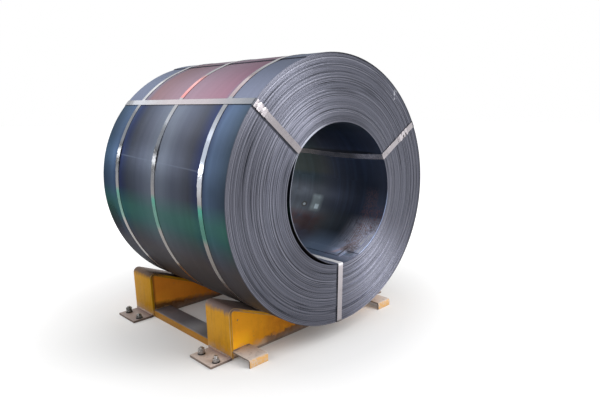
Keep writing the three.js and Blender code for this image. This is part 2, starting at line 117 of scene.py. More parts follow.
class CoilSettings(PropertyGroup):
    radius: length("Outside radius", "From the axis to the tail's outer face", 0.580)
    bore: length("Bore radius", "To the innermost turn at its free end", 0.305)
    sheet: length("Sheet", "Thickness of the strip", 0.003)
    shift_y: length("Bore shift Y", "Bore's centre from the axis, sideways", 0.007)
    shift_z: length("Bore shift Z", "Bore's centre from the axis, upwards", -0.006)
    tail: turned("Tail", "Where the outermost turn ends", 108.4)
    start: turned("Start", "Where the innermost turn starts", 279.0)
    loose: length("Loose turn", "How far the innermost turn hangs off the wall", 0.015)
    snip: length("Snip", "Corner cut from the innermost turn's start", 0.076)
    recess: length("Recess", "Deepest the turns lie behind the ends", 0.0022)
    whole_turns: IntProperty(name="Turns", description="Whole turns of strip", default=90, min=3)
    steps: IntProperty(name="Steps", description="Facets in a turn", default=160, min=24)
    centre: colour("Middle", "Strip colour in the middle of its width", (90, 94, 104))
    edge: colour("Edge", "Colour of the slit edges", (104, 105, 117))


class StrapSettings(PropertyGroup):
    width: length("Width", "Width of the strapping", 0.028)
    thickness: length("Thickness", "Thickness of the strapping", 0.001)
    gap: length("Gap", "Clearance under a strap", 0.0003)
    seal: length("Seal", "Length of a seal", 0.066)
    notch: length("Notch", "Depth of a crimp notch", 0.005)
    colour: colour("Strapping", "Colour of the strapping", (186, 180, 184))


class CradleSettings(PropertyGroup):
    bevel: length("Edge round", "Rounding of plate edges", 0.0012)
    bead: length("Weld", "Radius of a weld bead", 0.0045)
    paint: colour("Paint", "Yellow paint", (246, 166, 30))
    post: colour("Post paint", "Older paint on the bent plates", (204, 146, 30))
    worn: colour("Worn", "Rubbed steel where the paint is gone", (122, 104, 98))
    dirt: colour("Dirt", "Dry dirt on flat plates", (206, 190, 180))
    anchor: colour("Anchors", "Studs, nuts and washers", (150, 146, 144))


class StageSettings(PropertyGroup):
    floor: colour("Floor", "Colour of the floor", (236, 236, 236))
    world: FloatProperty(name="World", description="Strength of the even light", default=0.55, min=0)
    key: power("Key", "Power of the high front light", 46)
    top: power("Top", "Power of the overhead light", 38)
    side: power("Side", "Power of the soft side light", 14)
    front: power("Front", "Power of the low front light", 64)
    glint: power("Glint", "Power of the low strip light", 8)
    lens: FloatProperty(name="Lens", description="Focal length", default=30.369, unit="CAMERA")


# ------------------------------------------------------------------ meshes
def shown(name, mesh, materials, smooth, slot):
    """A mesh as an object, shaded smooth up to an angle, that rides on the only body."""
    for material in materials:
        mesh.materials.append(bpy.data.materials[material])
    mesh.shade_smooth()
    mesh.set_sharp_from_angle(angle=math.radians(smooth))
    mesh.update()
    obj = bpy.data.objects.new(name, mesh)
    bpy.context.scene.collection.objects.link(obj)
    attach(obj, "root")
    return obj


def outward(verts, faces):
    """The faces turned over if the closed mesh is inside out."""
    fans = [(f[0], f[k], f[k + 1]) for f in faces for k in range(1, len(f) - 1)]
    a, b, c = np.asarray(verts)[np.array(fans)].transpose(1, 0, 2)
    return faces if np.sum(a * np.cross(b, c)) > 0 else [f[::-1] for f in faces]


def piece(name, verts, faces, materials, slots=None, smooth=35, slot="strapping", uv=None):
    """One solid piece from a closed mesh."""
    mesh = bpy.data.meshes.new(name)
    mesh.from_pydata(verts, [], outward(verts, faces))
    if slots is not None:
        mesh.polygons.foreach_set("material_index", np.asarray(slots, dtype=np.int32))
    if uv is not None:
        layer = mesh.uv_layers.new(name="strip")
        corner = np.empty(len(mesh.loops), dtype=np.int32)
        mesh.loops.foreach_get("vertex_index", corner)
        layer.data.foreach_set("uv", np.asarray(uv, dtype=np.float32)[corner].ravel())
    return shown(name, mesh, materials, smooth, slot)


def skin(rings, closed=False, capped=True):
    """Vertices and quads over rings of points, joined end to end or capped."""
    count, points = len(rings), len(rings[0])
    verts = [tuple(p) for ring in rings for p in ring]
    faces = []
    for i in range(count if closed else count - 1):
        here, after = i * points, (i + 1) % count * points
        for j in range(points):
            k = (j + 1) % points
            faces.append((here + j, here + k, after + k, after + j))
    if capped and not closed:
        faces.append(tuple(range(points))[::-1])
        faces.append(tuple(range((count - 1) * points, count * points)))
    return verts, faces


def sweep(places, ups, acrosses, section, closed=False):
    """The skin of a section (across, up) carried along places."""
    places, ups, acrosses, section = (np.asarray(a, float) for a in (places, ups, acrosses, section))
    if section.ndim == 2:
        section = np.broadcast_to(section, (len(places), *section.shape))
    rings = (
        places[:, None, :]
        + section[:, :, 0, None] * acrosses[:, None, :]
        + section[:, :, 1, None] * ups[:, None, :]
    )
    return skin(rings.tolist(), closed)


def around(angle):
    return Vector((0, math.cos(angle), math.sin(angle)))


def circle(radius, count, x, y, z, turn=0.0):
    """Points of a level ring. The radius may be a function of a point's number."""
    radii = [radius(k) if callable(radius) else radius for k in range(count)]
    angles = [math.tau * k / count + turn for k in range(count)]
    return [(x + r * math.cos(a), y + r * math.sin(a), z) for r, a in zip(radii, angles)]


# ------------------------------------------------------------------ the strip
def turn_part(angle, start):
    """Part of a turn from start to angle, from 0 up to 1."""
    return ((angle - start) / math.tau) % 1.0


def outside(angle):
    """Radius of the wound coil at an angle."""
    s = bpy.context.scene.coil_sizes
    return s.radius - s.sheet * (1 - turn_part(angle, s.tail))


def smoothstep(t):
    t = np.clip(t, 0, 1)
    return t * t * (3 - 2 * t)


def loose_lift(angle):
    """How far the innermost turn hangs inside the wall."""
    opens, opening, closes, closing = 138, 28, 272, 40
    a = np.degrees(angle) % 360
    loose = bpy.context.scene.coil_sizes.loose
    return loose * smoothstep((a - opens) / opening) * smoothstep((closes - a) / closing)


def wind_strip(s):
    """Vertices, faces, slots and strip coordinates of the whole wound strip."""
    snip_turns, uneven, crown, easing = 10 / 360, 0.32 * MM, 0.42 * MM, 0.55 * MM
    turns = s.whole_turns + turn_part(s.tail, s.start)
    pitch = (s.radius - s.sheet - s.bore) / turns
    rng = np.random.default_rng(11)
    knots = int(turns * 1.6) + 4
    at = np.linspace(0, turns, knots)
    ragged = [rng.normal(0, uneven, knots) for _ in ("front", "back")]
    thin = rng.uniform(0.05 * MM, 0.55 * MM, knots)
    deep = np.concatenate([[0], rng.uniform(0.25, 1.0, 20), [0.3, 0]]) * s.recess

    def edges(u):
        """How far the strip's front and back edges lie from the middle."""
        group = np.clip(u / turns * len(deep), 0, len(deep) - 1e-6)
        index = group.astype(int)
        onward = smoothstep((group - index - 0.86) / 0.14)
        base = deep[index] * (1 - onward) + deep[np.minimum(index + 1, len(deep) - 1)] * onward
        free = smoothstep((u - 1) / 2) * smoothstep((turns - 1.3 - u) / 2)
        return [HALF_WIDTH - np.maximum(base + np.interp(u, at, edge), 0) * free for edge in ragged]

    verts, faces, slots, uvs = [], [], [], []

    def stretch(first, last, eased):
        """One stretch of the strip between two counts of turns."""
        u = np.linspace(first, last, max(int(round((last - first) * s.steps)), 2) + 1)
        if first == 0:
            u = u[np.abs(u - snip_turns) > 0.2 / s.steps]
            u = np.sort(np.concatenate([u, [snip_turns, snip_turns]]))
        angle = s.start + u * math.tau
        xf, xb = edges(u)
        if first == 0:
            snipped = u < snip_turns
            snipped[np.where(u == snip_turns)[0][0]] = True
            xf = np.where(snipped, HALF_WIDTH - s.snip, xf)
        r0 = s.bore + pitch * u - np.where(u < 1, loose_lift(angle), 0)
        r1 = r0 + s.sheet - np.interp(u, at, thin) * smoothstep(turns - 1 - u) * (u > 1)
        if eased:
            e = easing
            section = [(xf - e, r0), (xf, r0 + e), (xf, r1 - e), (xf - e, r1),
                       (e - xb, r1), (-xb, r1 - e), (-xb, r0 + e), (e - xb, r0)]
            kinds = [1, 1, 1, 0, 1, 1, 1, 2]
        else:
            rm = (r0 + r1) / 2
            section = [(xf - crown, r0), (xf, rm), (xf - crown, r1),
                       (crown - xb, r1), (-xb, rm), (crown - xb, r0)]
            kinds = [1, 1, 0, 1, 1, 2]
        section = np.stack([np.stack([a, b], -1) for a, b in section], axis=1)
        inward = 1 - (r0 - s.bore) / (s.radius - s.sheet - s.bore)
        centre_y, centre_z = AXIS.y + s.shift_y * inward, AXIS.z + s.shift_z * inward
        places = np.stack([np.full_like(u, AXIS.x), centre_y, centre_z], -1)
        ups = np.stack([np.zeros_like(u), np.cos(angle), np.sin(angle)], -1)
        v, f = sweep(places, ups, np.tile([1.0, 0, 0], (len(u), 1)), section)
        base = len(verts)
        verts.extend(v)
        faces.extend(tuple(i + base for i in q) for q in f)
        slots.extend(kinds * (len(u) - 1) + [1, 1])
        uvs.append(np.stack([np.repeat(u, len(kinds)), section[:, :, 0].ravel()], -1))

    stretch(0, 1.2, True)
    stretch(1.2, turns - 1.4, False)
    stretch(turns - 1.4, turns, True)
    return verts, faces, slots, np.concatenate(uvs)


# ------------------------------------------------------------------ shader helpers
class Value:
    """A number, vector or colour in a node tree. Arithmetic on it adds math nodes."""

    def __init__(self, socket):
        self.socket = socket
        self.tree = socket.id_data

    def __add__(self, other):
        return calc("ADD", self, other)

    def __sub__(self, other):
        return calc("SUBTRACT", self, other)

    def __rsub__(self, other):
        return calc("SUBTRACT", other, self)

    def __mul__(self, other):
        return calc("MULTIPLY", self, other)

    def __truediv__(self, other):
        return calc("DIVIDE", self, other)

    def __mod__(self, other):
        return calc("MODULO", self, other)

    def __abs__(self):
        return calc("ABSOLUTE", self)

    def scaled(self, factor, extra, clamp=False):
        return calc("MULTIPLY_ADD", self, factor, extra, clamp=clamp)

    def __call__(self, low, high, *fall, to=(0, 1)):
        """A mask that rises from low to high and, with two more limits, falls between them."""
        limits = {"From Min": low, "From Max": high, "To Min": to[0], "To Max": to[1]}
        rise = made(self.tree, "ShaderNodeMapRange", {"Value": self, **limits}, clamp=True)
        return rise * self(fall[1], fall[0]) if fall else rise


def plug(value, socket):
    """Link a value to a socket, or set the socket to a constant."""
    if isinstance(value, Value):
        value.tree.links.new(value.socket, socket)
    else:
        socket.default_value = value


def node(tree, kind, inputs=None, **settings):
    new = tree.nodes.new(kind)
    for key, value in settings.items():
        setattr(new, key, value)
    for key, value in (inputs or {}).items():
        plug(value, new.inputs[key])
    return new


def made(tree, kind, inputs=None, output=0, **settings):
    """What a new node puts out."""
    return Value(node(tree, kind, inputs, **settings).outputs[output])


def tree_of(*values):
    return next(v.tree for v in values if isinstance(v, Value))


def calc(operation, *values, clamp=False):
    inputs = dict(enumerate(values))
    return made(tree_of(*values), "ShaderNodeMath", inputs, operation=operation, use_clamp=clamp)


def product(first, *others):
    for other in others:
        first = first * other
    return first


def split(vector):
    return [Value(o) for o in node(vector.tree, "ShaderNodeSeparateXYZ", {0: vector}).outputs]


def linear(rgb):
    """A tuple holds 0 to 255. Lists and settings are scene linear already."""
    return tone(*rgb) if isinstance(rgb, tuple) else list(rgb)


def blend(fac, under, over, mode="MIX"):
    under, over = (c if isinstance(c, Value) else (*linear(c), 1) for c in (under, over))
    return made(tree_of(fac, under, over), "ShaderNodeMix", {0: fac, 6: under, 7: over}, 2,
                data_type="RGBA", blend_type=mode)


def dimmed(under, factor, *masks):
    """A colour made darker or lighter through the product of the masks."""
    factor = list(factor) if isinstance(factor, tuple) else [factor] * 3
    return blend(product(*masks), under, factor, "MULTIPLY")


def ramp(value, stops):
    """A colour ramp whose stops are (place, colour or level)."""
    new = node(value.tree, "ShaderNodeValToRGB", {0: value})
    elements = new.color_ramp.elements
    while len(elements) > 1:
        elements.remove(elements[-1])
    for index, (place, shade) in enumerate(stops):
        element = elements[0] if index == 0 else elements.new(place)
        element.position = place
        element.color = (*([shade] * 3 if isinstance(shade, float) else linear(shade)), 1)
    return Value(new.outputs[0])


def noise(vector, scale, detail, roughness):
    inputs = {"Vector": vector, "Scale": scale, "Detail": detail, "Roughness": roughness}
    return made(vector.tree, "ShaderNodeTexNoise", inputs, "Fac")


def group(name, inputs, outputs):
    """A new shader node group's inputs and outputs. An input without a default is a vector."""
    tree = bpy.data.node_groups.new(name, "ShaderNodeTree")
    for label, default in inputs.items():
        kind = "NodeSocketVector" if default is None else "NodeSocketFloat"
        socket = tree.interface.new_socket(name=label, in_out="INPUT", socket_type=kind)
        if default is not None:
            socket.default_value = default
    for label in outputs:
        tree.interface.new_socket(name=label, in_out="OUTPUT", socket_type="NodeSocketFloat")
    given = tree.nodes.new("NodeGroupInput").outputs
    return {label: Value(given[label]) for label in inputs}, tree.nodes.new("NodeGroupOutput").inputs


def build_groups():
    """The effects that several finishes share."""
    given, out = group("patches", {"Vector": None, "Scale": 8.0, "Amount": 0.5, "Soft": 0.1},
                       ("Mask", "Fine"))
    coarse = noise(given["Vector"], given["Scale"], 5.0, 0.6)
    fine = noise(given["Vector"], given["Scale"] * 6.0, 4.0, 0.65)
    over = fine.scaled(0.35, coarse * 0.65) - (1.0 - given["Amount"]).scaled(0.5, 0.25)
    plug(calc("DIVIDE", over, given["Soft"], clamp=True), out["Mask"])
    plug(fine, out["Fine"])

    given, out = group("rolling_grain", {"Along": 0.0, "Across": 0.0, "Stretch": 6.0, "Lines": 260.0},
                       ("Streak", "Fine"))
    kinds = (("Fine", given["Stretch"], given["Lines"], 3.0), ("Streak", 1.4, 26.0, 4.0))
    for name, along, across, detail in kinds:
        place = made(given["Along"].tree, "ShaderNodeCombineXYZ",
                     {0: given["Along"] * along, 1: given["Across"] * across})
        plug(noise(place, 1.0, detail, 0.6), out[name])

    given, out = group("dust_on_top", {"Vector": None, "Amount": 0.5}, ("Mask",))
    up = split(made(given["Vector"].tree, "ShaderNodeNewGeometry", output="Normal"))[2]
    kept = noise(given["Vector"], 22.0, 5.0, 0.65).scaled(0.8, 0.45, clamp=True)
    plug(calc("MULTIPLY", up(0.35, 0.9) * kept, given["Amount"], clamp=True), out["Mask"])


class Finish:
    """A finish while it is mixed: its material's nodes, places on the object and its colour so far."""

    def __init__(self, name):
        material = bpy.data.materials.new(name)
        material.use_nodes = True
        self.tree = material.node_tree
        self.where = made(self.tree, "ShaderNodeTexCoord", output="Object")
        self.x, self.y, self.z = split(self.where)
        self.base = None

    def coil_place(self):
        """Angle about the axis in degrees from 0 to 360, radius, and X from the coil's middle."""
        y, z = self.y - AXIS.y, self.z - AXIS.z
        self.angle = (calc("ARCTAN2", z, y) * (180 / math.pi) + 360.0) % 360.0
        self.along = self.x - AXIS.x
        return self.angle, calc("SQRT", y.scaled(y, z * z)), self.along

    def aside(self):
        return abs(self.y - AXIS.y)

    def rear(self):
        """1 on the rear saddle."""
        return self.x(AXIS.x - 0.05, AXIS.x - 0.15)

    def facing(self):
        return split(made(self.tree, "ShaderNodeNewGeometry", output="Normal"))

    def use(self, name, **inputs):
        new = node(self.tree, "ShaderNodeGroup", node_tree=bpy.data.node_groups[name])
        for key, value in inputs.items():
            plug(value, new.inputs[key])
        return [Value(o) for o in new.outputs]

    def patches(self, scale, amount, soft):
        """A mask of patches and the fine noise in it."""
        return self.use("patches", Vector=self.where, Scale=scale, Amount=amount, Soft=soft)

    def dust(self, amount):
        return self.use("dust_on_top", Vector=self.where, Amount=amount)[0]

    def grain(self, radius, stretch, lines):
        """Wide streaks and fine lines along the strip."""
        along = self.angle * (math.pi / 180 * radius)
        return self.use("rolling_grain", Along=along, Across=self.along, Stretch=stretch, Lines=lines)

    def lay(self, over, *masks):
        """Lay a colour on through the product of the masks."""
        self.base = blend(product(*masks), self.base, over)

    def dim(self, factor, *masks):
        self.base = dimmed(self.base, factor, *masks)

    def shade(self, value, *masks):
        """Multiply by a number through the product of the masks."""
        grey = made(self.tree, "ShaderNodeCombineColor", {0: value, 1: value, 2: value})
        self.base = blend(product(*masks), self.base, grey, "MULTIPLY")

    def done(self, metallic, rough, height, strength, distance, more=None):
        """Put the mixed colour and surface into the shader."""
        bumps = {"Strength": strength, "Distance": distance, "Height": height}
        surface = {"Base Color": self.base, "Metallic": metallic, "Roughness": rough,
                   "Normal": made(self.tree, "ShaderNodeBump", bumps), **(more or {})}
        for name, value in surface.items():
            plug(value, self.tree.nodes["Principled BSDF"].inputs[name])


# ------------------------------------------------------------------ finishes of the coil
def barrel_finish(s):
    """Oiled hot-rolled strip: blue near its edges, brown-grey in the middle, streaked lengthwise."""
    f = Finish("coil_barrel")
    angle, _, x = f.coil_place()
    streak, fine = f.grain(s.radius, 5.0, 420.0)
    wander = noise(f.where, 3.2, 4.0, 0.6)
    moved = (wander - 0.5).scaled(0.075, x)
    place = moved + 0.5
    half = [(0.0, (50, 58, 68)), (0.11, (68, 80, 100)), (0.18, (46, 49, 72)),
            (0.25, (60, 60, 66)), (0.36, (76, 78, 88)), (0.46, s.centre)]
    f.base = ramp(place, half + [(1 - at, rgb) for at, rgb in half[::-1]])
    inner = moved(-0.36, -0.29, 0.31, 0.35)
    # painted sheen on top: a lighter band, with a pink-red painted reflection in the middle of the width
    toward = ramp(place, ((0.16, (116, 88, 86)), (0.50, (126, 104, 112)), (0.82, (124, 92, 102))))
    f.lay(blend(inner, (98, 100, 114), toward), angle(96, 106, 136.5, 139), 0.92)
    # painted reflection: a green tint low on the side, as on the straps
    f.lay((56, 97, 82), angle(178, 186, 189, 203), 0.62)
    f.lay((94, 82, 74), angle(192, 206, 300, 335), 0.75)
    # painted sheen: lighter over the top and upper side, from about 108 to 173 degrees, than elsewhere
    sheen = ramp(angle / 360.0, ((0.0, 0.5), (0.30, 0.65), (0.42, 0.75), (0.48, 0.5), (1.0, 0.5)))
    f.shade(streak(0.25, 0.75, to=(1.78, 2.2)) * sheen, 1.0)
    f.lay((104, 106, 116), fine(0.52, 0.8, to=(0, 0.12)))
    # a crease, raised in the bump, and painted lighter along its line as a painted highlight
    line = angle - x.scaled(4.0, 165.6)
    crease = product(abs(line)(0.34, 0.1), inner, wander(0.35, 0.6, to=(0.12, 0.36)))
    f.lay((110, 116, 130), crease)
    # painted shadow along the tail's edge
    f.lay((20, 18, 24), abs(angle - 108.3)(0.6, 0.4), 0.95)
    dust = f.dust(0.14)
    f.lay((120, 118, 122), dust)
    far = x(-0.36, -0.42) * angle(183, 191, 196, 206)
    f.done(0.9, dust.scaled(0.3, fine.scaled(0.16, 0.36)), crease.scaled(1.2, fine), 0.12, 0.0006,
           {"Specular Tint": blend(far, [0.30, 0.36, 0.42], [0.08, 0.1, 0.13])})


def beside(f, index, low, high):
    """1 on the front end from low to high aside of a bore strap."""
    a = math.radians(EYES[index])
    y, z = f.y - AXIS.y, f.z - AXIS.z
    away = y.scaled(math.cos(a), z * math.sin(a))
    off = y.scaled(-math.sin(a), z * math.cos(a)) - away.scaled(*DRIFT[index])
    return off(low, low + 0.002, high - 0.004, high) * away(0.1, 0.2)


def edge_finish(s):
    """Slit edges: every turn a little different, dark lines between some turns, grey patches and rust, and
    painted light and shade.
    """
    f = Finish("coil_edge")
    angle, radius, x = f.coil_place()
    turns = split(made(f.tree, "ShaderNodeUVMap", uv_map="strip"))[0]

    def along_turns(scale):
        inputs = {"W": turns, "Scale": scale, "Detail": 2.0, "Roughness": 0.6}
        return made(f.tree, "ShaderNodeTexNoise", inputs, noise_dimensions="1D")

    f.base = ramp(along_turns(0.95), (
        (0.28, (54, 56, 64)), (0.42, (80, 82, 93)), (0.55, s.edge), (0.72, (128, 129, 141))))
    f.lay((84, 86, 98), along_turns(0.24)(0.40, 0.62, to=(0, 0.22)))
    line = made(f.tree, "ShaderNodeCombineXYZ", {0: turns * 1.25, 1: f.y * 3.0, 2: f.z * 3.0})
    f.lay((18, 20, 30), noise(line, 1.0, 1.0, 0.5)(0.38, 0.27, to=(0, 0.95)))
    patch, patch_fine = f.patches(3.0, 0.45, 0.25)
    f.lay((98, 95, 104), patch, 0.3)
    rust, rust_fine = f.patches(9.0, 0.22, 0.14)
    f.lay((112, 92, 84), rust, 0.2)
    f.dim(0.85, 1.0)
    # painted sheen: the rings lighter in the lower right
    f.dim(1.6, angle(260, 290, 305, 335))
    f.lay((220, 222, 230), abs(angle - 49.0)(2.8, 1.2), radius(0.515, 0.535), rust_fine(0.54, 0.6),
          x(0, 0.1, to=(0, 0.5)))
    # painted sheen on the inner rings from the upper left round to the lower left, painted shade on the
    # innermost rings at the top
    f.dim(1.2, angle(110, 120, 206, 220), radius(0.46, 0.40))
    f.dim(0.75, angle(50, 66, 124, 136), radius(0.35, 0.32))
    f.dim(1.25, angle(148, 156, 176, 190), radius(0.335, 0.35, 0.385, 0.41))
    shadow = (26, 28, 36)
    f.lay(shadow, beside(f, 1, 0.013, 0.026), 0.9)
    f.lay(shadow, beside(f, 2, 0.013, 0.022), 0.45)
    f.lay(shadow, beside(f, 3, -0.024, -0.013), 0.85)
    innermost = turns(0.9, 0.5)
    # painted highlights and glints along the edges of the innermost turns
    f.lay((190, 200, 216), innermost, angle(125, 140, 300, 330), 0.3)
    f.lay((150, 172, 214), innermost, angle(286, 300, 344, 356), 0.7)
    f.lay((236, 238, 246), innermost, angle(222, 238, 276, 282), rust_fine(0.4, 0.5), 0.9)
    f.lay((176, 180, 192), turns(3.4, 2.0), angle(104, 116, 140, 155), 0.35)
    # painted shade on the innermost turn where it starts
    f.dim(0.62, innermost, angle(276, 279, 291, 294), x(0.4965, 0.494))
    # painted shade along the outermost turn's edge, from the lower right round to the top
    turned_angle = (angle + 60.0) % 360.0
    f.lay((22, 24, 32), radius(0.572, 0.5755), turned_angle(0, 10, 150, 165), 0.85)
    f.done(0.8, patch_fine.scaled(0.16, 0.34), patch_fine, 0.2, 0.0004, {
        "Anisotropic": 0.72, "Anisotropic Rotation": 0.25,
        "Tangent": made(f.tree, "ShaderNodeTangent", direction_type="RADIAL", axis="X")})


def bore_finish(s):
    """The innermost turn's inside: dark oiled strip with stains, a blue sheen and rubbed marks."""
    f = Finish("coil_bore")
    angle, _, x = f.coil_place()
    turned_angle = (angle + 60.0) % 360.0
    streak, grain = f.grain(s.bore, 6.0, 300.0)
    stain, stain_fine = f.patches(4.0, 0.5, 0.3)
    flakes, flake_fine = f.patches(20.0, 0.5, 0.12)
    # painted light: the bore lighter round its bottom, from about 200 to 310 degrees; painted shade over the
    # rest
    dark = (36, 44, 54)
    lit = ((0.70, (90, 104, 124)), (0.80, (130, 142, 162)))
    f.base = ramp(angle / 360.0, ((0.55, dark), *lit, (0.86, dark)))
    f.lay((38, 44, 54), stain, 0.35)
    f.lay((80, 92, 106), streak(0.48, 0.75, to=(0, 0.3)))
    f.dim((0.76, 0.86, 1.0), 1.0)
    # painted blue sheen on the right side of the bore, toward the front
    f.dim((0.9, 1.0, 1.35), turned_angle(24, 34, 112, 122), x(0.05, 0.15))
    # painted light near the mouth at the front end
    f.lay((84, 90, 108), x(0.34, 0.48, to=(0, 0.4)))
    # light streaks along the grain, and flaking places, low on the right
    f.lay((212, 214, 236), angle(270, 296, 318, 330), x(0.28, 0.47), grain(0.3, 0.56))
    f.lay((44, 42, 58), angle(268, 276, 330, 345), x(0.27, 0.34), flakes, 0.6)
    f.lay((120, 84, 84), angle(312, 320, 334, 342), x(0.34, 0.40), flake_fine(0.5, 0.58), 0.5)
    # a dark red stain deep in the bore, low on the right, with painted shade over it
    f.lay((62, 36, 40), angle(296, 306, 318, 326), x(0.16, 0.08), stain_fine(0.36, 0.5), 0.75)
    f.dim((0.5, 0.42, 0.44), angle(278, 288, 316, 328), x(0.2, 0.1))
    # pale flakes at the bottom
    f.lay((150, 148, 176), angle(258, 264, 284, 294), x(0.30, 0.38), flakes, 0.75)
    # painted light low on the right near the mouth
    f.dim(1.8, angle(272, 290, 335, 355), x(0.3, 0.42))
    # an olive tint deep on the right
    f.lay((52, 52, 42), angle(1, 5, 24, 34), x(0.18, 0.08), 0.5)
    # painted shadow beside strap 2's run in the bore
    f.lay((10, 12, 16), angle(26.4, 27.2, 29.2, 30.4), x(-0.04, 0.04, 0.42, 0.46), 0.8)
    # two square light spots
    f.lay((112, 126, 132), x(-0.01, 0.012, 0.055, 0.085), angle(324, 329, 340, 343), 0.62)
    f.lay((168, 184, 194), x(0.028, 0.033, 0.055, 0.063), angle(327, 328.5, 331.8, 333), 0.85)
    f.dim(1.2, x(0.036, 0.041, 0.052, 0.056), angle(337.5, 338.5, 341.5, 342.5))
    f.dim(0.78, angle(312, 318, 326, 328), x(0.458, 0.468))
    f.lay((168, 132, 124), angle(290, 294, 318, 326), x(0.36, 0.39, 0.44, 0.46), flake_fine(0.47, 0.56), 0.55)
    # scuffs beside the innermost turn's start
    slant, scuff_x, scuff_angle = 0.00326, 0.365, 283.5
    off = x - angle.scaled(slant, scuff_x - slant * scuff_angle)
    f.lay((190, 172, 184), off(-0.016, -0.011, 0.008, 0.012), angle(282, 285, 300, 305),
          flake_fine(0.3, 0.42), 0.7)
    f.lay((24, 26, 38), x(0.401, 0.405, 0.411, 0.415), angle(281, 283, 292, 296), 0.8)
    f.lay((158, 148, 152), x(0.30, 0.36, 0.48, 0.49), angle(252.5, 255, 260, 262.5), 0.7)
    f.lay((74, 112, 140), x(0.418, 0.426, 0.468, 0.478), angle(283, 285, 290, 292), 0.5)
    f.lay((126, 108, 106), angle(286, 289, 296, 300), x(0.38, 0.39, 0.46, 0.47), flake_fine(0.36, 0.48), 0.6)
    f.lay((112, 88, 92), angle(322, 332, 350, 357), x(0.36, 0.39, 0.44, 0.455), flake_fine(0.42, 0.56), 0.55)
    f.dim(1.6, angle(282, 285, 289, 292), x(0.33, 0.37, 0.42, 0.44))
    # a small ring mark
    dx, da = (x - (-0.052)) / 0.020, (angle - 330.5) / 2.6
    ring = dx.scaled(dx, da * da)
    f.lay((24, 28, 34), ring(1.5, 1.1))
    f.lay((120, 130, 138), ring(0.35, 0.15))
    dull = blend(angle(284, 294, 318, 326) * x(0.14, 0.04), [1, 1, 1], [0.25, 0.2, 0.24])
    dull = blend(turned_angle(50, 58, 112, 120) * x(0.1, 0), dull, [0.5, 0.68, 0.62])
    f.done(0.55, stain_fine.scaled(0.25, 0.24), grain, 0.12, 0.0005, {"Specular Tint": dull})


# ------------------------------------------------------------------ finishes of straps and cradle
def strap_finish(s, name, bright=1.0):
    """Steel strapping: bright, lightly scratched, with dull stains."""
    f = Finish(name)
    angle, radius, x = f.coil_place()
    stain, _ = f.patches(14.0, 0.5, 0.25)
    rust, _ = f.patches(60.0, 0.2, 0.1)
    outer = radius(0.570, 0.574)
    low_bore = angle(245, 256, 276, 286) * radius(0.322, 0.316)
    f.base = [min(c * bright, 1) for c in s.colour]
    # painted highlight: whiter where the straps lie low in the bore, and less metallic there in the shader
    f.lay((240, 240, 244), low_bore)
    # painted reflections: darker tones on the straps' outside, changing with the angle about the axis
    reflection_by_height = ((0.30, (90, 90, 96)), (0.45, (112, 118, 128)), (0.52, (120, 114, 110)))
    f.lay(ramp(angle / 360.0, reflection_by_height), outer)
    f.lay((96, 94, 98), stain, 0.5)
    f.lay((140, 108, 92), rust, 0.3)
    # painted reflection: a green tint low on the side
    f.lay((10, 134, 114), angle(178.6, 181, 191.5, 194.5), outer, 0.9)
    # painted reflections: red and pink tints near the top, and on the crossing run
    red = angle(120, 124, 135.8, 136.6) * outer
    for at, rgb, most in ((-0.017, (196, 18, 18), 0.85), (0.34, (150, 90, 96), 0.4)):
        f.lay(rgb, red, abs(x - at)(0.03, 0.022), most)
    f.lay((168, 146, 150), angle(136.6, 137, 140, 140.4), outer, x(-0.3, -0.1, 0.2, 0.4), 0.4)
    crossing = angle(136.4, 136.7, 140.1, 140.4)
    band = outer * (1.0 - crossing)
    # painted light on top, painted shade below the top and again low on the side
    f.dim(1.4, angle(106, 112, 118, 124), band)
    f.dim(0.5, angle(120, 126, 143, 149), band)
    f.dim(0.5, angle(180, 185, 191, 195), band)
    # painted sheen on the front band round its seal, painted shade on the other two seals
    f.dim(3.0, angle(150, 157, 172, 180), band, x(0.19, 0.2))
    f.dim(0.25, angle(158, 161, 168, 171), band, x(0.2, 0.19))
    # painted shade on the crossing run from a little behind its middle to the front
    f.dim(0.55, outer, crossing, x(-0.35, -0.2))
    # painted shade on the straps' runs over the front end
    end = x(0.498, 0.4995) * radius(0.574, 0.570)
    for index, factor in ((1, 0.6), (2, 0.8), (3, 0.8)):
        eye = EYES[index]
        f.dim(factor, end, angle(eye - 9, eye - 8, eye + 8, eye + 9))
    # in shade deep in the bore
    f.dim(0.12, angle(15, 20, 33, 38), radius(0.313, 0.307), x(0.45, 0.3))
    if name == "seal_steel":
        # painted shade at the crimp notches on one side of strap 2's seal
        for low, high in ((0.478, 0.490), (0.498, 0.511)):
            rim = radius(low, low + 0.003, high - 0.003, high)
            f.lay((26, 22, 24), beside(f, 2, -0.022, 0.002), rim, 0.92)
    waves = noise(f.where, 34.0, 2.0, 0.5)
    f.done(low_bore.scaled(-0.7, 0.85), stain.scaled(0.12, 0.17), waves, 0.25, 0.0012)


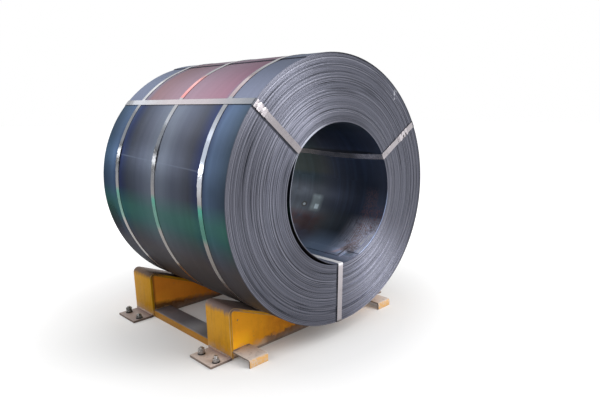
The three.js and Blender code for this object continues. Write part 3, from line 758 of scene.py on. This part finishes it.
def paint_finish(c, name, wear=0.3, dirt=0.35, top=0.0, shade=(150, 84, 22), paint=None, worn=None,
                 web=False):
    """Yellow paint over steel: rubbed off on top, rusty scratches, dry dirt near the floor."""
    f = Finish(name)
    z, aside, rear = f.z, f.aside(), f.rear()
    front = 1.0 - rear
    worn = worn or c.worn
    tie = name == "tie_paint"
    old, old_fine = f.patches(5.0, 0.5, 0.35)
    specks, _ = f.patches(70.0, 0.24, 0.06)
    chips, chip_fine = f.patches(26.0, wear, 0.05)
    rubbed = f.dust(1.6)
    upright = made(f.tree, "ShaderNodeVectorMath", {0: f.where, 1: (70.0, 70.0, 8.0)}, operation="MULTIPLY")
    run = noise(upright, 1.0, 3.0, 0.6)
    f.base = paint or c.paint
    f.lay(shade, old, 0.5)
    f.lay((128, 92, 36), run(0.5, 0.75, to=(0, 0.1 if web else 0.3)))
    # the rear saddle darker, as painted shade, and of another hue
    f.dim((0.76, 0.62, 1.5) if web else (0.8, 0.8, 0.22), rear)
    f.lay((110, 78, 44), specks, 0.6)
    f.lay(blend(chip_fine, (92, 70, 58), worn), chips)
    # painted light: the rubbed steel lighter on the front seats' slopes, under the coil
    on_top = dimmed(worn, (1.5, 1.6, 1.65), aside(0.447, 0.43), front)
    # rubbed-off paint on top; darker on the rear, as painted shade
    f.lay(dimmed(on_top, (0.68, 0.66, 0.7) if tie else (0.5, 0.42, 0.35), rear), rubbed)
    if tie:
        f.dim(0.55, rubbed, f.x(AXIS.x - 0.03, AXIS.x + 0.05))
    if top:
        # rubbed top edges; darker on the rear, as painted shade
        f.lay(dimmed(worn, (0.5, 0.42, 0.3), rear), run.scaled(0.04, z)(top - 0.012, top + 0.012))
    if web:
        f.dim((1.3, 1.45, 1.4), aside(0.33, 0.37, 0.5, 0.6), z(0.13, 0.06))
        f.dim((0.78, 0.68, 0.92), aside(0.29, 0.23), front, old_fine(0.35, 0.55, to=(0.55, 1)))
        f.dim((1.25, 1.28, 1.4), aside(0.39, 0.31), rear)
        # painted shade in the corner between the rear web and its post
        f.dim((0.35, 0.35, 0.6), rear, aside(0.425, 0.44))
        # painted shade, with some dirt, low on the rear web under a slanted edge
        foot_line = old_fine.scaled(-0.03, aside.scaled(-0.125, z))
        f.lay((64, 52, 36), rear, foot_line(0.008, -0.012), 0.85)
        ragged = rear.scaled(0.1, noise(f.where, 13.0, 4.0, 0.6).scaled(-0.1, z))
        f.lay((110, 80, 54), ragged(-0.004, -0.012), aside(0.29, 0.26), 0.85)
        f.lay((190, 168, 150), ragged(-0.012, -0.026), aside(0.26, 0.29), 0.7)
        # darker along the web's lowest edge, where it meets the floor
        f.lay((46, 36, 32), z(0.014, 0.008), 0.8)
    f.lay(c.dirt, old_fine.scaled(-0.09, z)(0, -0.045), dirt)
    f.done(0.0, old_fine.scaled(0.3, 0.42), chips.scaled(-0.6, old_fine), 0.25, 0.0008,
           {"Specular IOR Level": 0.14})


def plate_finish(c, name, paint=0.25, dirt=None, end=False):
    """Flat steel near the floor: mostly dirt, with paint left in places."""
    f = Finish(name)
    left, left_fine = f.patches(14.0, paint, 0.12)
    grime, grime_fine = f.patches(9.0, 0.5, 0.3)
    spots, spot_fine = f.patches(40.0, 0.28, 0.08)
    facing_x, facing_y, facing_z = f.facing()
    f.base = linear(dirt or c.dirt)
    f.lay([v * 0.72 for v in f.base], grime)
    f.lay((140, 122, 112), grime_fine(0.52, 0.66, to=(0, 0.35)))
    f.lay(c.paint, left)
    if end:
        f.lay((84, 66, 54), abs(facing_y)(0.6, 0.9, to=(0, 0.9)))
        f.lay((214, 160, 76), facing_x(0.45, 0.85), left_fine(0.7, 0.44), 0.9)
    else:
        f.lay((84, 66, 54), abs(facing_z)(0.7, 0.3, to=(0, 0.8)))
        # painted shade on the foot plates beside the posts, where the seats shade them
        f.dim((0.52, 0.45, 0.5), f.aside()(0.488, 0.456))
    f.lay((112, 92, 82), spots, 0.5)
    f.done(0.0, grime_fine.scaled(0.25, 0.58), grime_fine + spot_fine, 0.3, 0.0009)


def anchor_finish(c):
    """Weathered fasteners."""
    f = Finish("stud_steel")
    rust, rust_fine = f.patches(60.0, 0.42, 0.2)
    # the rear anchors darker, as painted shade
    f.base = blend(f.rear(), c.anchor, (56, 58, 54))
    f.lay((112, 84, 66), rust, 0.6)
    # painted glints
    f.lay((214, 212, 210), rust_fine(0.5, 0.6, to=(0, 0.8)))
    f.lay((28, 24, 24), rust_fine(0.44, 0.36), 0.8)
    f.lay((24, 20, 19), f.z(0.0148, 0.0132), 0.95)
    f.done(0.7, rust_fine.scaled(0.3, 0.2), rust_fine, 0.3, 0.0006)


# ------------------------------------------------------------------ straps
def strap_section(s, height, width):
    """A strap's section, its underside at a height, with eased corners."""
    half, e = width / 2, 0.25 * MM
    low, high = height, height + s.thickness
    return [(-half, low + e), (-half + e, low), (half - e, low), (half, low + e),
            (half, high - e), (half - e, high), (-half + e, high), (-half, high - e)]


def bridged(angle):
    """The radius on which a tight strap lies, with the tail's step bridged."""
    s = bpy.context.scene.coil_sizes
    lower = s.radius - s.sheet
    span = math.acos(lower / s.radius)
    past = (angle - s.tail) % math.tau
    return lower / math.cos(span - past) if past < span else outside(angle)


def slack(index, angle):
    """How far a band lies along the coil from its middle line: two of them were pulled askew."""
    pulled, starts, grows = PULLED[index]
    ends, fades = 330, 70
    turn = math.degrees(angle) % 360
    return pulled * smoothstep((turn - starts) / grows) * smoothstep((ends - turn) / fades)


def seal_mesh(s, place, width, top, wall, notch):
    """A crimped sleeve whose inside reaches up to top. place(across, along, up) gives a point."""
    half, lip, foot, steps = width / 2 + 0.4 * MM, 3 * MM, 0.05 * MM, 44
    rows, pinched = [], []
    for k in range(steps + 1):
        at = (k / steps - 0.5) * s.seal
        pinch = max(0.0, *(1 - abs(at - middle) / (1.15 * s.notch) for middle in (-s.seal / 5, s.seal / 5)))
        w = half - notch * pinch
        drop = 0.14 * notch * pinch ** 0.5
        side = [(w + wall, foot), (w + wall, top + 0.4 * wall - drop), (w + 0.5 * wall, top + wall - drop),
                (w - lip, top + wall)]
        inside = [(w, foot), (w, top - drop), (w - lip, top), (0, top)]
        out = [(-a, h) for a, h in side] + [(0, top + wall)] + side[::-1]
        out += inside + [(-a, h) for a, h in inside[2::-1]]
        rows.append([place(a, at, h) for a, h in out])
        pinched.append(pinch > 0.25)
    count = len(rows[0])
    verts, faces = skin(rows, capped=False)
    slots = []
    # the sides at the notches take the second material as painted shade, and so do the two ends
    for i in range(steps):
        dark = pinched[i] and pinched[i + 1]
        slots += [int(dark and j in (0, 1, 2, 5, 6, 7)) for j in range(count)]
    for turn, base in ((-1, 0), (1, steps * count)):
        for j in range(count // 2 - 1):
            faces.append((base + j, base + j + 1, base + count - 2 - j, base + count - 1 - j)[::turn])
            slots.append(1)
    return verts, faces, slots


def rounded_loop(points, radius, steps=5):
    """Points and normals of a loop with round corners, normals to its outside."""
    out = []
    for i in range(len(points)):
        p, before, after = (Vector(points[k % len(points)]) for k in (i, i - 1, i + 1))
        into, away = (p - before).normalized(), (after - p).normalized()
        centre = p - into * radius + away * radius
        for k in range(steps + 1):
            a = math.pi / 2 * k / steps
            normal = -away * math.cos(a) + into * math.sin(a)
            out.append((centre + normal * radius, normal))
    return out


def drift(index, x, radius):
    """How far aside a bore strap lies: skewed over the ends, and one sags in the bore."""
    slope, start = DRIFT[index]
    sagging, in_bore, deepest, reach = 2, 0.31, 0.009, 0.25
    aside = slope * radius + start
    if index == sagging and radius < in_bore:
        aside -= deepest * max(0.0, 1 - ((x - reach) / reach) ** 2)
    return aside


def bore_run(c, s, angle):
    """How far from the axis a strap lies in the bore."""
    away = np.array([math.cos(angle), math.sin(angle)])
    centre = np.array([c.shift_y, c.shift_z])
    aside = centre @ np.array([-away[1], away[0]])
    low, samples, margin = 1.0, 8, 1 * MM
    for k in range(-samples, samples + 1):
        across = (s.width / 2 + margin) * k / samples - aside
        a = angle + math.asin(across / c.bore)
        r = c.bore + c.sheet * turn_part(a, c.start) - float(loose_lift(a))
        low = min(low, float((centre + r * np.array([math.cos(a), math.sin(a)])) @ away))
    return low - s.gap


# ------------------------------------------------------------------ cradle and anchors
def refined(name, bevel, materials, slot="yellow_paint"):
    """A copy of a CAD node with eased edges. The last material covers the easing."""
    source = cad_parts[name]
    bm = bmesh.new()
    bm.from_mesh(source.data)
    bm.transform(source.matrix_world)
    bmesh.ops.remove_doubles(bm, verts=bm.verts, dist=2e-6)
    bmesh.ops.dissolve_limit(bm, angle_limit=math.radians(0.6), verts=bm.verts, edges=bm.edges)
    sharp = [e for e in bm.edges if len(e.link_faces) == 2 and e.calc_face_angle(0) > math.radians(32)]
    for face in bm.faces:
        face.material_index = 0
    bmesh.ops.bevel(bm, geom=sharp, offset=bevel, offset_type="OFFSET", segments=2, profile=0.5,
                    affect="EDGES", clamp_overlap=True, material=len(materials) - 1)
    bmesh.ops.recalc_face_normals(bm, faces=bm.faces)
    mesh = bpy.data.meshes.new(name + "_eased")
    bm.to_mesh(mesh)
    bm.free()
    obj = shown(name + "_eased", mesh, materials, 35, slot)
    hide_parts(name)
    return obj


def nut_mesh(across, low, high, bore, x, y, turn):
    """A hexagon nut with chamfered corners, standing on low."""
    count, steps, lead = 72, (0, 0.35, 0.7, 1.0), 1.2 * MM
    face_part, chamfer_slope = 0.985, 0.55
    flat = across / 2
    face = flat * face_part
    chamfer = flat / math.cos(math.pi / 6) - face
    rise = chamfer * chamfer_slope

    def ring(z, depth):
        def hexagon(k):
            local = (math.tau * k / count + math.pi / 6) % (math.pi / 3) - math.pi / 6
            return min(flat / math.cos(local), face + depth)

        return circle(hexagon, count, x, y, z, turn)

    rings = [ring(low + rise * t, chamfer * t) for t in steps]
    rings += [ring(high - rise * t, chamfer * t) for t in steps[::-1]]
    for z, r in ((high, bore + lead), (high - lead, bore), (low + lead, bore), (low, bore + lead)):
        rings.append(circle(r, count, x, y, z))
    return skin(rings, closed=True)


def stud_mesh(radius, low, high, x, y):
    """A stud with a cut thread and a chamfered end."""
    count, pitch, depth, chamfer = 28, 2.0 * MM, 0.85 * MM, 1.6 * MM
    steps = int((high - low) / (pitch / 6))
    rings = []
    for i in range(steps + 1):
        z = low + (high - low) * i / steps

        def threaded(k):
            phase = (z / pitch - k / count) % 1.0
            return min(radius - depth * abs(2 * phase - 1), radius - chamfer + (high - z))

        rings.append(circle(threaded, count, x, y, z))
    return skin(rings)


def bead(name, start, end, radius, seed):
    """A rippled weld bead between two points, as one solid."""
    points, knots, spacing, closed_over = 10, 24, 1.1 * MM, 4
    start, end = Vector(start), Vector(end)
    run = end - start
    count = max(int(run.length / spacing), 8)
    direction = run.normalized()
    across = direction.cross(Vector((0, 0, 1))).normalized()
    up = across.cross(direction)
    rng = np.random.default_rng(seed)
    wobble = np.interp(np.linspace(0, 1, count), np.linspace(0, 1, knots), rng.uniform(0.82, 1.12, knots))
    places = [start + run * k / (count - 1) for k in range(count)]
    sections = []
    for k in range(count):
        ripple = 1 + 0.10 * math.cos(math.tau * k * 1.1 / 5.5)
        closing = min(k, count - 1 - k) / closed_over
        r = radius * wobble[k] * ripple * min(1, 0.35 + 0.65 * closing)
        turns = [math.tau * j / points for j in range(points)]
        sections.append([(r * math.cos(a), r * math.sin(a)) for a in turns])
    verts, faces = sweep(places, [tuple(up)] * count, [tuple(across)] * count, sections)
    return piece(name, verts, faces, ["weld_bead"], smooth=60, slot="yellow_paint")


# ------------------------------------------------------------------ operators
class COIL_OT_finishes(Operator):
    """Mix the shared finishes of straps, cradle and anchors"""

    bl_idname = "coil_part.finishes"
    bl_label = "Finishes"

    def execute(self, context):
        c, s = context.scene.cradle_finish, context.scene.strap_sizes
        build_groups()
        strap_finish(s, "strap_steel")
        strap_finish(s, "seal_steel", 1.4)
        # crimp_dark, very dark steel: painted shade in the crimp notches; the seals' ends take it too
        strap_finish(s, "crimp_dark", 0.12)
        top = highest("front_seat_left").z
        paint_finish(c, "seat_paint", wear=0.22, top=top, paint=c.post, shade=(140, 96, 34))
        paint_finish(c, "web_paint", wear=0.2, shade=(190, 104, 22), web=True)
        paint_finish(c, "tie_paint", dirt=0.08, shade=(116, 76, 20), paint=(176, 120, 24),
                     worn=(116, 114, 116))
        paint_finish(c, "paint_edge", paint=(206, 166, 104), worn=(150, 128, 104))
        paint_finish(c, "weld_bead", wear=0.5, dirt=0.6, paint=c.post, shade=(96, 66, 40))
        plate_finish(c, "foot_plate", 0.1)
        # the rear feet darker than the front ones, as painted shade
        plate_finish(c, "rear_plate", 0.08, (152, 138, 132))
        plate_finish(c, "bracket_plate", 0.2, (204, 192, 184), end=True)
        anchor_finish(c)
        return {"FINISHED"}


class COIL_OT_strip(Operator):
    """Wind the strip coil"""

    bl_idname = "coil_part.strip"
    bl_label = "Wound strip"

    def execute(self, context):
        s = context.scene.coil_sizes
        barrel_finish(s)
        edge_finish(s)
        bore_finish(s)
        verts, faces, slots, uv = wind_strip(s)
        coil = piece("wound_strip", verts, faces, ["coil_barrel", "coil_edge", "coil_bore"], slots, 40,
                     "coil_steel", uv)
        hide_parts("coil")
        return {"FINISHED"}


class COIL_OT_bands(Operator):
    """Put the three band straps round the coil, with their overlapped ends and crimped seals"""

    bl_idname = "coil_part.bands"
    bl_label = "Band straps"

    def execute(self, context):
        s, c = context.scene.strap_sizes, context.scene.coil_sizes
        count, lap_before, lap_after, climb = 420, 0.045, 0.06, 0.05
        for index, degrees in BANDS.items():
            node_name = f"band_strap_{index}"
            middle, x = math.radians(degrees), (lowest(node_name).x + highest(node_name).x) / 2
            half = s.seal / 2 / c.radius
            first, last = middle - half - lap_before, middle + half + math.tau + lap_after
            angles = np.linspace(first, last, count)
            places = []
            for a in angles:
                over = smoothstep((a - (first + math.tau - climb)) / climb)
                p = AXIS + around(a) * (bridged(a) + s.gap + over * (s.thickness + 0.15 * MM))
                places.append((x + slack(index, a), p.y, p.z))
            ups = [tuple(around(a)) for a in angles]
            verts, faces = sweep(places, ups, [(1, 0, 0)] * count, strap_section(s, 0, s.width))
            band = piece(f"band_strap_{index}_bent", verts, faces, ["strap_steel"])
            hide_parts(f"band_strap_{index}")

            def place(across, along, up):
                a = middle + along / c.radius
                p = AXIS + around(a) * (outside(a) + up)
                return (x + across, p.y, p.z)

            top, wall, notch = 2 * s.thickness + 0.5 * MM, 1.0 * MM, 0.3 * s.notch
            verts, faces, slots = seal_mesh(s, place, s.width, top, wall, notch)
            seal = piece(f"band_seal_{index}_crimped", verts, faces, ["strap_steel", "crimp_dark"], slots)
            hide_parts(f"band_seal_{index}")
        return {"FINISHED"}


class COIL_OT_eye_straps(Operator):
    """Run the three straps through the bore, with their crimped seals"""

    bl_idname = "coil_part.eye_straps"
    bl_label = "Eye straps"

    def execute(self, context):
        s, c = context.scene.strap_sizes, context.scene.coil_sizes
        along_x, corner, divided, pieces = Vector((1, 0, 0)), 2.6 * MM, 0.1, 12
        past_seal, shorter, lap_steps = 14 * MM, 18 * MM, 5
        for index, degrees in EYES.items():
            a = math.radians(degrees)
            away = around(a)
            across = along_x.cross(away)

            def turned_to(p):
                return around(a + drift(index, p.x, p.y) / p.y)

            run = outside(a) + s.gap * 2 + s.thickness
            inner = bore_run(c, s, a)
            face = HALF_WIDTH + s.gap
            loop = rounded_loop([(face, run), (face, inner), (-face, inner), (-face, run)], corner)
            dense = []
            for k, (p, n) in enumerate(loop):
                q = loop[(k + 1) % len(loop)][0]
                dense.append((p, n))
                if (q - p).length > divided:
                    dense += [(p.lerp(q, t), n) for t in np.linspace(0, 1, pieces + 1)[1:-1]]
            places = [Vector((AXIS.x + p.x, AXIS.y, AXIS.z)) + turned_to(p) * p.y for p, n in dense]
            ups = [Vector((n.x, 0, 0)) + turned_to(p) * n.y for p, n in dense]
            acrosses = [tuple(along_x.cross(turned_to(p))) for p, n in dense]
            verts, faces = sweep(places, ups, acrosses, strap_section(s, 0, s.width), closed=True)
            strap = piece(f"eye_strap_{index}_bent", verts, faces, ["strap_steel"])
            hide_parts(f"eye_strap_{index}")
            if index not in EYE_SEALS:
                continue
            middle = AXIS + away * (c.radius - EYE_SEALS[index]) + Vector((face, 0, 0))

            def place(aside, along, up):
                aside += drift(index, HALF_WIDTH, c.radius - EYE_SEALS[index] + along)
                return tuple(middle + across * aside + away * along + Vector((up, 0, 0)))

            verts, faces, slots = seal_mesh(s, place, s.width + 4 * MM, 2 * s.thickness, 0.3 * MM, s.notch)
            seal = piece(f"eye_seal_{index}_crimped", verts, faces, ["seal_steel", "crimp_dark"], slots)
            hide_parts(f"eye_seal_{index}")
            end = s.seal / 2 + past_seal
            lap_places = [place(0, t, 0) for t in np.linspace(-end, end - shorter, lap_steps)]
            ups, acrosses = [tuple(along_x)] * lap_steps, [tuple(across)] * lap_steps
            lap = sweep(lap_places, ups, acrosses, strap_section(s, s.thickness, s.width))
            piece(f"eye_strap_{index}_end", *lap, ["strap_steel"])
        return {"FINISHED"}


class COIL_OT_saddles(Operator):
    """Ease and paint the saddles' seats and webs"""

    bl_idname = "coil_part.saddles"
    bl_label = "Saddles"

    def execute(self, context):
        bevel = context.scene.cradle_finish.bevel
        for saddle in SADDLES:
            for side in SIDES:
                refined(f"{saddle}_seat_{side}", bevel * 1.5, ["seat_paint", "paint_edge"])
            for side in ("back", "front"):
                refined(f"{saddle}_web_{side}", bevel, ["web_paint", "paint_edge"])
        return {"FINISHED"}


class COIL_OT_feet(Operator):
    """Ease and dirty the foot plates, ties and brackets"""

    bl_idname = "coil_part.feet"
    bl_label = "Feet, ties and brackets"

    def execute(self, context):
        bevel = context.scene.cradle_finish.bevel
        for side in SIDES:
            for saddle, finish in zip(SADDLES, ("rear_plate", "foot_plate")):
                refined(f"{saddle}_foot_{side}", bevel * 0.8, [finish], "worn_plate")
            refined(f"tie_{side}", bevel, ["tie_paint", "paint_edge"])
            refined(f"bracket_{side}", bevel, ["bracket_plate"], "worn_plate")
        return {"FINISHED"}


class COIL_OT_anchors(Operator):
    """Put threaded studs, chamfered nuts and washers in the feet"""

    bl_idname = "coil_part.anchors"
    bl_label = "Anchors"

    def execute(self, context):
        steel = ["stud_steel"]
        rng = np.random.default_rng(5)
        thread = (highest("stud_front_left_1").x - lowest("stud_front_left_1").x) / 2
        flats = min((highest("nut_front_left_1") - lowest("nut_front_left_1")).xy)

        def named(*starts):
            """The names, boxes and middles of the nodes that start so."""
            for name in sorted(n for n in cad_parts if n.startswith(starts)):
                low, high = lowest(name), highest(name)
                yield name, low, high, (low + high) / 2

        for name, low, high, middle in named("nut_", "locknut_"):
            turn = rng.uniform(0, 1)
            nut = nut_mesh(flats, low.z, high.z, thread + 0.4 * MM, middle.x, middle.y, turn)
            nut = piece(name + "_turned", *nut, steel, smooth=28, slot="anchor_steel")
            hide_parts(name)
        for name, low, high, middle in named("stud_"):
            stud = stud_mesh((high.x - low.x) / 2, low.z, high.z, middle.x, middle.y)
            stud = piece(name + "_threaded", *stud, steel, smooth=50, slot="anchor_steel")
            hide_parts(name)
        for name, *_ in named("washer_"):
            refined(name, 0.5 * MM, steel, "anchor_steel")
        return {"FINISHED"}


class COIL_OT_welds(Operator):
    """Lay weld beads where the cradle's plates meet"""

    bl_idname = "coil_part.welds"
    bl_label = "Welds"

    def execute(self, context):
        r = context.scene.cradle_finish.bead
        seed = 1
        for saddle in SADDLES:
            for side in SIDES:
                foot, seat = f"{saddle}_foot_{side}", f"{saddle}_seat_{side}"
                y = lowest(seat).y if side == "left" else highest(seat).y
                z = highest(foot).z
                x0, x1 = lowest(seat).x + 4 * MM, min(highest(seat).x, highest(foot).x) - 4 * MM
                bead(f"weld_{foot}", (x0, y, z), (x1, y, z), r, seed)
                seed += 1
        for side in SIDES:
            tie, bracket = f"tie_{side}", f"bracket_{side}"
            for name, node_name, x, inset in (
                (f"weld_{tie}_rear", tie, lowest(tie).x - 1 * MM, 9 * MM),
                (f"weld_{tie}_front", tie, highest(tie).x + 1 * MM, 9 * MM),
                (f"weld_{bracket}", bracket, lowest(bracket).x - 1 * MM, 3 * MM),
            ):
                low, high = lowest(node_name), highest(node_name)
                bead(name, (x, low.y + inset, high.z), (x, high.y - inset, high.z), r, seed)
                seed += 1
        return {"FINISHED"}


def seen(tree):
    """1 to the camera and in reflections, 0 to light that falls on the object."""
    path = tree.nodes.new("ShaderNodeLightPath").outputs
    camera, glossy, through = (Value(path[f"Is {kind} Ray"]) for kind in ("Camera", "Glossy", "Transmission"))
    return calc("MAXIMUM", camera, calc("MAXIMUM", glossy, through))


class COIL_OT_stage(Operator):
    """Set up the floor, the lights, the world and the camera"""

    bl_idname = "coil_part.stage"
    bl_label = "Stage"

    def execute(self, context):
        scene, s = context.scene, context.scene.stage_setup
        reach = 30
        corners = [(-reach, -reach, 0), (reach, -reach, 0), (reach, reach, 0), (-reach, reach, 0)]
        mesh = bpy.data.meshes.new("floor")
        mesh.from_pydata(corners, [], [(0, 1, 2, 3)])
        floor = bpy.data.objects.new("floor", mesh)
        floor.location.z = -0.5 * MM
        scene.collection.objects.link(floor)
        material = bpy.data.materials.new("floor_white")
        material.use_nodes = True
        tree = material.node_tree
        where = made(tree, "ShaderNodeTexCoord", output="Object")
        away = made(tree, "ShaderNodeVectorMath", {0: where}, "Value", operation="LENGTH")
        floor_inputs = {
            "Base Color": (*s.floor, 1), "Roughness": 0.9, "Specular IOR Level": 0.1,
            "Emission Color": (1, 1, 1, 1), "Emission Strength": seen(tree) * away(0.7, 2.4, to=(0.06, 0.7)),
        }
        for name, value in floor_inputs.items():
            plug(value, tree.nodes["Principled BSDF"].inputs[name])
        mesh.materials.append(material)

        world = bpy.data.worlds.new("studio")
        scene.world = world
        world.use_nodes = True
        background = world.node_tree.nodes["Background"]
        background.inputs["Color"].default_value = (1, 1, 1, 1)
        plug(seen(world.node_tree).scaled(1 - s.world, s.world), background.inputs["Strength"])

        def lamp(name, place, target, size, size_y, energy):
            data = bpy.data.lights.new(name, "AREA")
            data.shape = "RECTANGLE"
            data.size, data.size_y, data.energy = size, size_y, energy
            obj = bpy.data.objects.new(name, data)
            obj.location = place
            obj.rotation_euler = (Vector(target) - Vector(place)).to_track_quat("-Z", "Y").to_euler()
            scene.collection.objects.link(obj)

        lamp("key", (2.7, 0.35, 3.2), (0.2, 0, 0.6), 1.5, 1.5, s.key)
        lamp("top", (-2.2, -0.7, 3.0), (0, 0, 0.7), 2.6, 2.2, s.top)
        lamp("side", (-0.6, -3.0, 2.4), (0, 0, 0.4), 1.8, 1.4, s.side)
        lamp("front", (3.30, 1.20, 1.90), (0.5, 0, 0.67), 1.5, 1.5, s.front)
        lamp("glint", (-2.66, -1.85, 1.235), (0, -0.5, 0.82), 1.0, 0.2, s.glint)

        stand = Vector((1.99634, -1.53635, 0.36087))
        yaw, pitch, roll = 0.7172334, 0.2000081, -0.0023488
        back = Vector((math.sin(yaw) * math.cos(pitch), -math.cos(yaw) * math.cos(pitch), math.sin(pitch)))
        right = (-back).cross(Vector((0, 0, 1))).normalized()
        up = right.cross(-back)
        rolled_right = right * math.cos(roll) + up * math.sin(roll)
        rolled_up = up * math.cos(roll) - right * math.sin(roll)
        data = bpy.data.cameras.new("camera")
        data.sensor_width, data.lens = 36.0, s.lens
        data.shift_x, data.shift_y = -0.11543, 0.01600
        data.clip_end = 100
        camera = bpy.data.objects.new("camera", data)
        turn = Matrix((rolled_right, rolled_up, back)).transposed().to_4x4()
        camera.matrix_world = Matrix.Translation(AXIS + stand) @ turn
        scene.collection.objects.link(camera)
        scene.camera = camera
        scene.view_settings.view_transform = "Standard"
        return {"FINISHED"}


class COIL_PT_sidebar(Panel):
    """Steps and sizes of the dressed coil"""

    bl_idname = "COIL_PT_sidebar"
    bl_label = "Steel coil"
    bl_space_type = "VIEW_3D"
    bl_region_type = "UI"
    bl_category = "Coil"

    def draw(self, context):
        for operator in OPERATORS:
            self.layout.operator(operator.bl_idname)
        for name in SETTINGS:
            settings = getattr(context.scene, name)
            box = self.layout.box()
            for prop in settings.__annotations__:
                box.prop(settings, prop)


SETTINGS = {
    "coil_sizes": CoilSettings,
    "strap_sizes": StrapSettings,
    "cradle_finish": CradleSettings,
    "stage_setup": StageSettings,
}
OPERATORS = (
    COIL_OT_finishes, COIL_OT_strip, COIL_OT_bands, COIL_OT_eye_straps, COIL_OT_saddles,
    COIL_OT_feet, COIL_OT_anchors, COIL_OT_welds, COIL_OT_stage,
)


def register():
    for cls in (*SETTINGS.values(), *OPERATORS, COIL_PT_sidebar):
        bpy.utils.register_class(cls)
    for name, cls in SETTINGS.items():
        setattr(bpy.types.Scene, name, PointerProperty(type=cls))


def unregister():
    for name in SETTINGS:
        delattr(bpy.types.Scene, name)
    for cls in (COIL_PT_sidebar, *reversed(OPERATORS), *reversed(SETTINGS.values())):
        bpy.utils.unregister_class(cls)


def main():
    register()
    steps = bpy.ops.coil_part
    steps.finishes()
    steps.strip()
    steps.bands()
    steps.eye_straps()
    steps.saddles()
    steps.feet()
    steps.anchors()
    steps.welds()
    steps.stage()


if __name__ == "__main__":
    main()
